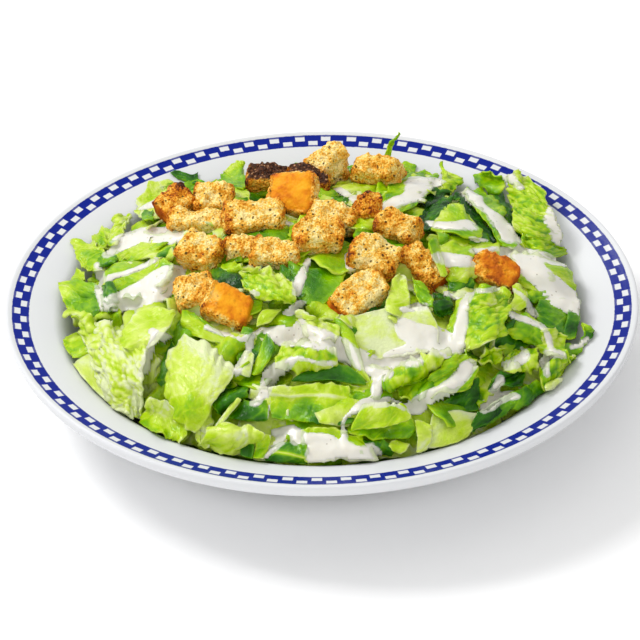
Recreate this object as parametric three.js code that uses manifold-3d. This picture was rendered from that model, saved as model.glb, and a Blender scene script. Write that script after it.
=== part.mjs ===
// A caesar salad on its round ceramic plate: chopped romaine heaped in the well, croutons on top.
// Millimetres, +Z up. The origin is the centre of the plate's foot ring, on the table.
import * as THREE from "three";
import { mergeVertices } from "three/addons/utils/BufferGeometryUtils.js";
import Module from "manifold-3d";

const wasm = await Module();
wasm.setup();

// ---- driving dimensions: the plate ----
const PLATE_RADIUS = 142.2;
const SHOULDER_RADIUS = 121; // where the well turns into the rim
const SHOULDER_Z = 36.3;
const BAND_OUTER_RADIUS = 139; // outer edge of the painted checker band
const BAND_OUTER_Z = 41;
const WELL_FLOOR_RADIUS = 82;
const WELL_FLOOR_Z = 7.5;
const UNDERSIDE_Z = 2.8;
const FOOT_OUTER_RADIUS = 62;
const FOOT_INNER_RADIUS = 57;
const FOOT_SLOPE = 2; // how far the foot's sides lean out from its sole to the underside
const UNDER_FLAT_RADIUS = 86; // where the underside leaves the flat and curves up

// Points of the profile that its curves bend toward, as radius and height.
const WELL_BENDS = [[104, WELL_FLOOR_Z], [111, 34.1]];
const UNDER_BENDS = [[108, UNDERSIDE_Z], [114, 29.5]];
const UNDER_SHOULDER = [123, 31.3];
const UNDER_EDGE = [138.6, 35.2];
const EDGE_BENDS = [[140.6, 35.7], [141.4, 36.4]];
const EDGE_SIDE = [PLATE_RADIUS - 0.3, 38.6];
const EDGE_CREST = [PLATE_RADIUS, 40.4];
const CREST_BENDS = [[142, 42.1], [140.6, 41.8]];
const PLATE_SEGMENTS = 56;
const CURVE_STEPS = 4;

// ---- driving dimensions: the heap ----
const HEAP_TOP_Z = 59.2; // height of the leaves' feet at the middle
const HEAP_DROP = 24; // how far the heap falls to its edge
const HEAP_RADIUS = 114;
const HEAP_POWER = 2.2;
const HEAP_FARTHEST_SHARE = 1.1; // the fall ends at this share of the heap's radius

const CORE_RADIUS = 111;
const CORE_RISE = 1.5; // the bare core stands this far over the leaves' feet, so that they grow out of it
const CORE_EDGE_DROP = 1; // and its outermost ring this far under them
const CORE_SEGMENTS = 20;
const CORE_RINGS = [0, 0.25, 0.5, 0.72, 0.9, 1]; // shares of the core's radius
const CORE_UNDER_RADII = [104, 96, 86, 0];
const CORE_CLEARANCE = 1.2; // from the plate's well
const CORE_BUMP = 2;
const CORE_BUMP_LENGTHS = [9, 8];

const GAP = 0.3; // between pieces that touch
const FINEST_DETAIL = 0.15; // edges shorter than this are closed up

// ---- driving dimensions: leaves and croutons ----
const LEAF_THICKNESS = 1.6;
const LEAF_FACET = 30; // a leaf has a step about every so often, both ways
const LEAF_OVERLAP = 1.07; // a leaf reaches past its corners by this factor
const LEAF_CORNER_ROUND = 0.12;
const LEAF_WAVE_ALONG = 4;
const LEAF_WAVE_ACROSS = 1.5;
const LEAF_WAVE_MIDDLE = 0.35; // share of the wave that the middle of a leaf has; its edges have all of it
const LEAF_WAVE_SHIFT = 2.4; // from each leaf to the next
const LEAF_TUCK = 1.5; // its back edge is tucked in, this far under the leaves' feet
const LEAF_TUCK_REACH = 12; // unless it stands higher than this
const LEAF_FREE_EDGE = 0.5; // then its edge is this much thinner than the leaf, as a share
const PLATE_CLEARANCE = 0.6;

const WORN_CORNER = 0.06; // how much a crouton's corners are worn down, as a share
const CRAG = 0.07; // how uneven its faces are, as a share
const SOCKET_GROWTH = 1.5; // a socket grows by the gap times this, so that slanted faces keep the gap too
const CROUTON_FACETS = 3; // along each side

const GREEN = 0x86b52e;
const CERAMIC_WHITE = 0xf0f1ef;
const TOAST = 0xd9943f;

// ---- croutons ----
// x, y, height of the centre over the heap, turn, tilt about x, tilt about y in degrees,
// length, width, thickness, and how much narrower the top is, as a share
const CROUTONS = [
  [-67, 60, 7, 40, 15, -22, 16, 13, 12, 0],
  [-49, 60, 6, 0, 25, 5, 16, 13, 11, 0],
  [-54, 42, 3, -8, 12, 0, 29, 10, 8, 0],
  [-24, 78, 6, -8, 10, 0, 19, 12, 11, 0],
  [-5, 73, 5, -12, 0, 8, 18, 11, 10, 0],
  [-12, 49, 9, -15, 45, -10, 20, 19, 10, 0],
  [-30, 32, 6, 8, 18, 0, 26, 15, 11, 0],
  [-54, 8, 6, -30, 25, 10, 17, 14, 12, 0],
  [-36, 9, 4, 5, 10, 0, 13, 9, 8, 0],
  [-20, 1, 4, -12, 15, 5, 19, 12, 9, 0],
  [5, 89, 11, 35, 15, 20, 20, 18, 20, 0.6],
  [27, 83, 8, -20, 25, 0, 24, 14, 15, 0.3],
  [6, 32, 5, -15, 20, 5, 21, 10, 9, 0],
  [22, 37, 7, 15, 30, 10, 10, 12, 13, 0.2],
  [-1, 12, 6, 10, 15, 10, 19, 14, 12, 0],
  [35, 19, 8, -25, 30, 10, 19, 13, 11, 0.1],
  [24, -6, 7, -20, 25, 15, 20, 15, 11, 0],
  [16, -32, 5, 35, 20, -15, 26, 13, 9, 0],
  [46, -7, 4, -45, 15, 20, 23, 11, 9, 0],
  [78, -4, 6, -20, 30, 15, 20, 12, 10, 0],
  [-56, -22, 5, 20, 20, 10, 15, 14, 11, 0],
  [-41, -36, 6, -20, 30, 15, 20, 14, 12, 0],
];

// ---- leaves ----
// Rows of leaves round the heap, laid like shingles with their outer edges low: radius of the row, number of
// leaves, length along the row, width, height of the outer edge over the heap, rise to the inner edge
const LEAF_ROWS = [
  [103, 13, 40, 24, 1.5, 3],
  [77, 7, 42, 28, 3.5, 3],
  [38, 4, 42, 30, 5, 2],
];
// How far each leaf of a row is out of line, either way.
const ROW_SCATTER = { step: 0.25, radius: 5, turn: 35, size: 0.2, lift: 1.5 };
const ROW_BULGE = 2.5;
const ROW_WAVE = 1.2;

// The larger leaves that lie on top: x, y of the middle, height of the front edge over the heap, rise to the
// back edge, turn in degrees, length of those edges, width from one to the other, bulge, wave
const LARGE_LEAVES = [
  [-90, -55, 2, 4, -50, 35, 40, 4, 1.5],
  [-108, 0, 4, 1, -75, 40, 20, 1.5, 1],
  [-105, 38, 4, 2, 20, 16, 36, 1, 1],
  [-77, 82, 3, 2, -50, 28, 32, 2, 0.5],
  [-55, -72, 2, 4, -60, 35, 34, 5, 0.6],
  [-40, -104, 1, 4, -15, 30, 16, 3, 1.3],
  [5, -112, 1, 3, 0, 34, 14, 2.5, 0.7],
  [-5, -90, 3, 2, 0, 40, 20, 1, 0.3],
  [32, -55, 4, 4, 10, 40, 30, -3, 0.5],
  [56, -75, 5, 2, 30, 34, 20, 2.5, 1],
  [54, -98, 2, 2, 15, 20, 18, 1.5, 0.2],
  [80, -82, 1, 3, 42, 42, 14, 2, 0.4],
  [102, -56, 2, 3, 50, 25, 18, 1.5, 1.3],
  [73, -36, 6, 2, 30, 24, 40, 5, 1.3],
  [104, -20, 4, 2, -10, 20, 32, 2, 0.4],
  [100, 8, 4, 2, 0, 28, 38, 5, 0.7],
  [98, 58, 4, 14, 10, 24, 62, 4, 1.6],
  [78, 56, 6, 3, 35, 18, 70, 2.5, 0.6],
  [80, 95, 6, 7, -35, 20, 14, 2, 1.6],
  [42, 76, 4, 2, 25, 22, 70, 3, 0.5],
  [34, 115, 1, 25, 0, 6, 4, 0.5, 0.2],
  [-40, 92, 4, 11, -50, 26, 24, 1.5, 0.6],
];

// ---- helpers ----
// A repeatable pseudo-random value from -1 to 1.
function scatter(a, b) {
  const wave = Math.sin(a * 127.1 + b * 311.7) * 43758.5453;
  return 2 * (wave - Math.floor(wave)) - 1;
}

function withoutNormals(geometry) {
  geometry.deleteAttribute("normal");
  geometry.deleteAttribute("uv");
  return mergeVertices(geometry, 1e-4);
}

function solidOf(geometry) {
  const merged = withoutNormals(geometry.clone());
  return new wasm.Manifold(
    new wasm.Mesh({
      numProp: 3,
      vertProperties: new Float32Array(merged.attributes.position.array),
      triVerts: new Uint32Array(merged.index.array),
    }),
  );
}

function geometryOf(solid) {
  const mesh = solid.getMesh();
  const geometry = new THREE.BufferGeometry();
  geometry.setAttribute("position", new THREE.BufferAttribute(mesh.vertProperties, 3));
  geometry.setIndex(new THREE.BufferAttribute(mesh.triVerts, 1));
  geometry.computeVertexNormals();
  return geometry;
}

function largestBody(solid) {
  const bodies = solid.decompose();
  return bodies.reduce((best, body) => (body.volume() > best.volume() ? body : best));
}

// ---- plate ----
function wellCurve() {
  const [low, high] = WELL_BENDS;
  return new THREE.CubicBezierCurve(
    new THREE.Vector2(WELL_FLOOR_RADIUS, WELL_FLOOR_Z),
    new THREE.Vector2(...low),
    new THREE.Vector2(...high),
    new THREE.Vector2(SHOULDER_RADIUS, SHOULDER_Z),
  );
}
const WELL_POINTS = wellCurve().getPoints(CURVE_STEPS);

// Height of the plate's upper face at a radius.
function plateTop(radius) {
  if (radius <= WELL_FLOOR_RADIUS) return WELL_FLOOR_Z;
  if (radius >= SHOULDER_RADIUS) {
    const share = (radius - SHOULDER_RADIUS) / (BAND_OUTER_RADIUS - SHOULDER_RADIUS);
    return SHOULDER_Z + share * (BAND_OUTER_Z - SHOULDER_Z);
  }
  const next = WELL_POINTS.findIndex((point) => point.x >= radius);
  const [low, high] = [WELL_POINTS[next - 1], WELL_POINTS[next]];
  return low.y + ((radius - low.x) / (high.x - low.x)) * (high.y - low.y);
}

function plateGeometry() {
  const [wellLow, wellHigh] = WELL_BENDS;
  const profile = new THREE.Path();
  profile.moveTo(0, UNDERSIDE_Z);
  profile.lineTo(FOOT_INNER_RADIUS - FOOT_SLOPE, UNDERSIDE_Z);
  profile.lineTo(FOOT_INNER_RADIUS, 0);
  profile.lineTo(FOOT_OUTER_RADIUS, 0);
  profile.lineTo(FOOT_OUTER_RADIUS + FOOT_SLOPE, UNDERSIDE_Z);
  profile.lineTo(UNDER_FLAT_RADIUS, UNDERSIDE_Z);
  profile.bezierCurveTo(...UNDER_BENDS.flat(), ...UNDER_SHOULDER);
  profile.lineTo(...UNDER_EDGE);
  profile.bezierCurveTo(...EDGE_BENDS.flat(), ...EDGE_SIDE);
  profile.lineTo(...EDGE_CREST);
  profile.bezierCurveTo(...CREST_BENDS.flat(), BAND_OUTER_RADIUS, BAND_OUTER_Z);
  profile.lineTo(SHOULDER_RADIUS, SHOULDER_Z);
  profile.bezierCurveTo(...wellHigh, ...wellLow, WELL_FLOOR_RADIUS, WELL_FLOOR_Z);
  profile.lineTo(0, WELL_FLOOR_Z);
  const points = profile.getPoints(CURVE_STEPS);
  points[0].x = 0;
  return new THREE.LatheGeometry(points, PLATE_SEGMENTS);
}

// The plate raised by its clearance, to trim what comes too near it.
function clearancePlate() {
  return plateGeometry().rotateX(Math.PI / 2).translate(0, 0, PLATE_CLEARANCE);
}

// ---- the heap ----
function heapTop(x, y) {
  const share = Math.min(Math.hypot(x, y) / HEAP_RADIUS, HEAP_FARTHEST_SHARE);
  return HEAP_TOP_Z - HEAP_DROP * share ** HEAP_POWER;
}

// The bare core: a low dome that fills the well, with an uneven top.
function coreGeometry() {
  const top = CORE_RINGS.map((share) => {
    const radius = share * CORE_RADIUS;
    return new THREE.Vector2(radius, heapTop(radius, 0) + (share < 1 ? CORE_RISE : -CORE_EDGE_DROP));
  });
  const under = CORE_UNDER_RADII.map((radius) => {
    return new THREE.Vector2(radius, plateTop(radius) + CORE_CLEARANCE);
  });
  const geometry = new THREE.LatheGeometry([...top, ...under].reverse(), CORE_SEGMENTS).rotateX(Math.PI / 2);
  const position = geometry.attributes.position;
  const [lengthX, lengthY] = CORE_BUMP_LENGTHS;
  for (let i = 0; i < position.count; i += 1) {
    const x = position.getX(i);
    const y = position.getY(i);
    const z = position.getZ(i);
    const radius = Math.hypot(x, y);
    const onTop = z > heapTop(x, y) && radius > 1;
    if (onTop) position.setZ(i, z + CORE_BUMP * Math.sin(x / lengthX) * Math.cos(y / lengthY));
  }
  return geometry;
}

// ---- leaves ----
// A leaf's corners, anticlockwise from above, as x, y and height over the heap, then its bulge and wave.
function leafBetweenCorners([x, y, lift, rise, turn, length, width, bulge, wave]) {
  const angle = THREE.MathUtils.degToRad(turn);
  const along = new THREE.Vector2(Math.cos(angle), Math.sin(angle)).multiplyScalar(length / 2);
  const across = new THREE.Vector2(-Math.sin(angle), Math.cos(angle)).multiplyScalar(width / 2);
  const corner = (s, t) => {
    const height = lift + (rise * (1 + t)) / 2;
    return [x + s * along.x + t * across.x, y + s * along.y + t * across.y, height];
  };
  return [corner(-1, -1), corner(1, -1), corner(1, 1), corner(-1, 1), bulge, wave];
}

// One row of leaves round the heap.
function leavesOfRow([radius, count, length, width, lift, rise], rowNumber) {
  return Array.from({ length: count }, (_, place) => {
    const draw = (use) => scatter(place + 1, use + rowNumber * 10);
    const bearing = (360 * (place + ROW_SCATTER.step * draw(1))) / count;
    const angle = THREE.MathUtils.degToRad(bearing);
    const reach = radius + ROW_SCATTER.radius * draw(2);
    return [
      reach * Math.cos(angle),
      reach * Math.sin(angle),
      lift + ROW_SCATTER.lift * draw(3),
      rise,
      bearing + 90 + ROW_SCATTER.turn * draw(4),
      length * (1 + ROW_SCATTER.size * draw(5)),
      width * (1 + ROW_SCATTER.size * draw(6)),
      ROW_BULGE * (1 + draw(7)),
      ROW_WAVE,
    ];
  });
}

// A point of a leaf's middle surface: s runs along it and t across it, both from -1 to 1.
function leafPoint(leaf, seed, s, t) {
  const weights = [(1 - s) * (1 - t), (1 + s) * (1 - t), (1 + s) * (1 + t), (1 - s) * (1 + t)];
  const mixed = (axis) => weights.reduce((sum, weight, corner) => sum + (weight * leaf[corner][axis]) / 4, 0);
  const [bulge, wave] = leaf.slice(4);
  const phase = LEAF_WAVE_ALONG * s + LEAF_WAVE_ACROSS * t + LEAF_WAVE_SHIFT * seed;
  const waved = wave * (LEAF_WAVE_MIDDLE + t * t) * Math.sin(phase);
  const lift = mixed(2) + bulge * (1 - (s * s + t * t) / 2) + waved;
  const x = mixed(0);
  const y = mixed(1);
  return new THREE.Vector3(x, y, heapTop(x, y) + lift);
}

function leafNormal(leaf, seed, s, t) {
  const step = 0.1;
  const along = leafPoint(leaf, seed, s + step, t).sub(leafPoint(leaf, seed, s - step, t));
  const across = leafPoint(leaf, seed, s, t + step).sub(leafPoint(leaf, seed, s, t - step));
  return along.cross(across).normalize();
}

// The end of a leaf's back edge on one of its faces: tucked into the heap, or free where it stands high.
function backEdgePoint(leaf, seed, s, side) {
  const edge = leafPoint(leaf, seed, s, LEAF_OVERLAP);
  const outward = edge.clone().sub(leafPoint(leaf, seed, s, 0)).normalize();
  const feet = heapTop(edge.x, edge.y);
  if (edge.z > feet + LEAF_TUCK_REACH) {
    edge.addScaledVector(outward, LEAF_THICKNESS);
    const half = (LEAF_FREE_EDGE * LEAF_THICKNESS) / 2;
    return edge.addScaledVector(leafNormal(leaf, seed, s, 1), side * half);
  }
  edge.addScaledVector(outward.setZ(0).normalize(), side > 0 ? LEAF_THICKNESS : 0);
  return edge.setZ(Math.min(edge.z, feet) - LEAF_TUCK);
}

// A leaf is a thin wavy solid with both faces split alike, bent up where it would meet the plate.
function leafGeometry(leaf, seed) {
  const corners = leaf.slice(0, 4).map(([x, y]) => new THREE.Vector2(x, y));
  const sideLength = (a, b) => corners[a].distanceTo(corners[b]);
  const length = (sideLength(0, 1) + sideLength(3, 2)) / 2;
  const width = (sideLength(0, 3) + sideLength(1, 2)) / 2;
  const stepsAlong = Math.max(1, Math.round(length / LEAF_FACET));
  const stepsAcross = Math.max(1, Math.round(width / LEAF_FACET));
  const row = stepsAcross + 2;
  const face = (stepsAlong + 1) * row;
  const vertices = [];
  for (const side of [1, -1]) {
    for (let i = 0; i <= stepsAlong; i += 1) {
      for (let j = 0; j < row; j += 1) {
        const squareS = (2 * i) / stepsAlong - 1;
        const squareT = (2 * j) / stepsAcross - 1;
        const s = LEAF_OVERLAP * squareS * (1 - LEAF_CORNER_ROUND * Math.min(squareT * squareT, 1));
        const t = LEAF_OVERLAP * squareT * (1 - LEAF_CORNER_ROUND * squareS * squareS);
        const onLeaf = leafPoint(leaf, seed, s, t);
        onLeaf.addScaledVector(leafNormal(leaf, seed, s, t), (side * LEAF_THICKNESS) / 2);
        const point = j <= stepsAcross ? onLeaf : backEdgePoint(leaf, seed, s, side);
        const floor = plateTop(Math.hypot(point.x, point.y)) + PLATE_CLEARANCE;
        const lowest = floor + (side > 0 ? LEAF_THICKNESS : 0);
        vertices.push(point.x, point.y, Math.max(point.z, lowest));
      }
    }
  }
  const index = [];
  const quad = (a, b, c, d) => index.push(a, b, c, a, c, d);
  for (let i = 0; i < stepsAlong; i += 1) {
    for (let j = 0; j < row - 1; j += 1) {
      const a = i * row + j;
      quad(a, a + row, a + row + 1, a + 1);
      index.push(face + a, face + a + row + 1, face + a + row);
      index.push(face + a, face + a + 1, face + a + row + 1);
    }
  }
  for (let i = 0; i < stepsAlong; i += 1) {
    const near = i * row;
    const far = near + row - 1;
    quad(near, face + near, face + near + row, near + row);
    quad(far + row, face + far + row, face + far, far);
  }
  for (let j = 0; j < row - 1; j += 1) {
    const last = stepsAlong * row + j;
    quad(j + 1, face + j + 1, face + j, j);
    quad(last, face + last, face + last + 1, last + 1);
  }
  const geometry = new THREE.BufferGeometry();
  geometry.setAttribute("position", new THREE.Float32BufferAttribute(vertices, 3));
  geometry.setIndex(index);
  return geometry;
}

// ---- croutons ----
// A lump of toast with worn corners and uneven faces. Grown by a margin, it is its own socket.
function croutonGeometry([length, width, thickness, narrowing], seed, margin) {
  const box = new THREE.BoxGeometry(2, 2, 2, CROUTON_FACETS, CROUTON_FACETS, CROUTON_FACETS);
  const geometry = withoutNormals(box);
  const position = geometry.attributes.position;
  const half = new THREE.Vector3(length / 2, width / 2, thickness / 2);
  for (let i = 0; i < position.count; i += 1) {
    const corner = new THREE.Vector3().fromBufferAttribute(position, i);
    const worn = 1 - WORN_CORNER * (corner.lengthSq() - 1);
    const uneven = 1 + CRAG * scatter(i + 1, seed);
    const narrow = 1 - (narrowing * (1 + corner.z)) / 2;
    corner.multiplyScalar(worn * uneven).multiply(half);
    corner.set(corner.x * narrow, corner.y * narrow, corner.z);
    corner.addScaledVector(corner.clone().normalize(), margin * SOCKET_GROWTH);
    position.setXYZ(i, corner.x, corner.y, corner.z);
  }
  return geometry;
}

function croutonMatrix([x, y, lift, turn, tiltX, tiltY]) {
  const euler = new THREE.Euler(
    THREE.MathUtils.degToRad(tiltX),
    THREE.MathUtils.degToRad(tiltY),
    THREE.MathUtils.degToRad(turn),
    "ZYX",
  );
  const matrix = new THREE.Matrix4().makeRotationFromEuler(euler);
  return matrix.setPosition(x, y, heapTop(x, y) + lift);
}

// ---- assembly ----
function saladSolid() {
  const placed = [...LEAF_ROWS.flatMap(leavesOfRow), ...LARGE_LEAVES].map(leafBetweenCorners);
  const leaves = placed.map((leaf, i) => solidOf(leafGeometry(leaf, i + 1)));
  let salad = wasm.Manifold.union([solidOf(coreGeometry()), ...leaves]);
  salad = salad.subtract(solidOf(clearancePlate()));
  CROUTONS.forEach((row, i) => {
    const socket = croutonGeometry(row.slice(6), i + 1, GAP).applyMatrix4(croutonMatrix(row));
    salad = salad.subtract(solidOf(socket));
  });
  return largestBody(salad.simplify(FINEST_DETAIL));
}

const group = new THREE.Group();
function addPart(name, geometry, color, roughness) {
  const mesh = new THREE.Mesh(geometry, new THREE.MeshStandardMaterial({ color, roughness, metalness: 0 }));
  mesh.name = name;
  group.add(mesh);
  return mesh;
}

addPart("plate", plateGeometry().rotateX(Math.PI / 2), CERAMIC_WHITE, 0.15);
addPart("salad", geometryOf(saladSolid()), GREEN, 0.45);
CROUTONS.forEach((row, i) => {
  const name = "crouton_" + String(i + 1).padStart(2, "0");
  const mesh = addPart(name, croutonGeometry(row.slice(6), i + 1, 0), TOAST, 0.85);
  mesh.applyMatrix4(croutonMatrix(row));
});

export default group;
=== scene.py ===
"""The looks of a caesar salad on its plate: romaine leaves, dressing, croutons, glazed plate, studio."""

import math

import bmesh
import bpy
import numpy as np
from mathutils import Matrix, Vector
from mathutils.bvhtree import BVHTree


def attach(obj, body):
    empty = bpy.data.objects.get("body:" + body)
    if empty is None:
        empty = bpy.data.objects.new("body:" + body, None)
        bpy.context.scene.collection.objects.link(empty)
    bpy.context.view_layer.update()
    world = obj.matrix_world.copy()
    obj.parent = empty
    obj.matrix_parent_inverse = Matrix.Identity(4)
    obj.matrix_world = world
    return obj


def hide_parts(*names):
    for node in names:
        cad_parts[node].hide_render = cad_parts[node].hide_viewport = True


MM = 0.001
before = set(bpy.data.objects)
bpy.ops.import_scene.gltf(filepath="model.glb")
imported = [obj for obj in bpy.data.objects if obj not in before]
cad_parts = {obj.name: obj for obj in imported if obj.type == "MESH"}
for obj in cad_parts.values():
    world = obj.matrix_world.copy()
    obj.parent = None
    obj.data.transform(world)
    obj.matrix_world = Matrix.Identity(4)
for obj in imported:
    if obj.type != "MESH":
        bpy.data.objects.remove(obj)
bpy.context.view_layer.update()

# ---- driving dimensions, in millimetres as in the part, scaled by MM when a mesh is made ----
PLATE_RADIUS = 142.2
PLATE_HEIGHT = 41.8
SHOULDER_RADIUS = 121.0
SHOULDER_Z = 36.3
BAND_INNER_RADIUS = 131.4
BAND_OUTER_RADIUS = 139.0
BAND_OUTER_Z = 41.0
WELL_FLOOR_RADIUS = 82.0
WELL_FLOOR_Z = 7.5
UNDERSIDE_Z = 2.8
FOOT_OUTER_RADIUS = 62.0
FOOT_INNER_RADIUS = 57.0
PLATE_SEGMENTS = 256
CHECKER_PERIODS = 69
CHECKER_PHASE = -0.0184  # of a turn

# The plate's section: points, and bends as the start of a curve, its two pulls, its end and its steps.
SHOULDER = (SHOULDER_RADIUS, SHOULDER_Z)
FOOT = (
    (FOOT_INNER_RADIUS - 2, UNDERSIDE_Z), (FOOT_INNER_RADIUS, 0.0),
    (FOOT_OUTER_RADIUS, 0.0), (FOOT_OUTER_RADIUS + 2.5, UNDERSIDE_Z),
)
UNDER_BEND = (
    (WELL_FLOOR_RADIUS + 4, UNDERSIDE_Z), (108, UNDERSIDE_Z), (114, 29.5), (SHOULDER_RADIUS + 2, 31.3), 16,
)
SIDE_BEND = ((138.6, 35.2), (140.6, 35.7), (141.4, 36.4), (PLATE_RADIUS - 0.3, 38.6), 8)
BEAD_BEND = (
    (PLATE_RADIUS, 40.4), (142, PLATE_HEIGHT + 0.3),
    (140.6, PLATE_HEIGHT), (BAND_OUTER_RADIUS, BAND_OUTER_Z), 10,
)
RIM_SLOPE = ((136.0, 40.2), (BAND_INNER_RADIUS, 39.2), (126.0, 37.6), SHOULDER)
WELL_BEND = ((WELL_FLOOR_RADIUS, WELL_FLOOR_Z), (104, WELL_FLOOR_Z), (111, SHOULDER_Z - 2.2), SHOULDER, 24)
UNDERSIDE_RINGS = (0.0, 20.0)
WELL_RINGS = (60.0, 30.0, 0.0)

HEAP_TOP_Z = 59.2
HEAP_DROP = 24.0
HEAP_RADIUS = 114.0
HEAP_POWER = 2.2
HEAP_END = 1.1  # the share of its radius at which the heap's form stops falling
CORE_DEPTH = 7.0
CORE_RADIUS = 102.0
CORE_RINGS, CORE_SEGMENTS = 24, 96
CORE_UNDER_RINGS = (99, 92, 84, 60, 30)
CORE_LUMPS, CORE_LUMP_SIZE = 1.5, 9
CORE_CLEARANCE = 1.0

LEAF_GRID = 0.8
UNDER_GRID = 1.7
LEAF_THICKNESS = 0.7
LEAF_CLEARANCE = 0.5
DRESSING_GRID = 0.9

# ---- the camera: angles in degrees, places in millimetres, focal length in pixels of its frame ----
FRAME_SIZE = 640
CAMERA_ELEVATION = 34.6
CAMERA_ROLL = 0.97
CAMERA_TARGET = (-0.86, -19.72, 41.84)
CAMERA_DISTANCE = 1500.0
FOCAL_PIXELS = 3373.5
ELEVATION, ROLL = math.radians(CAMERA_ELEVATION), math.radians(CAMERA_ROLL)
TOWARD_CAMERA = (0, -math.cos(ELEVATION), math.sin(ELEVATION))

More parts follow.
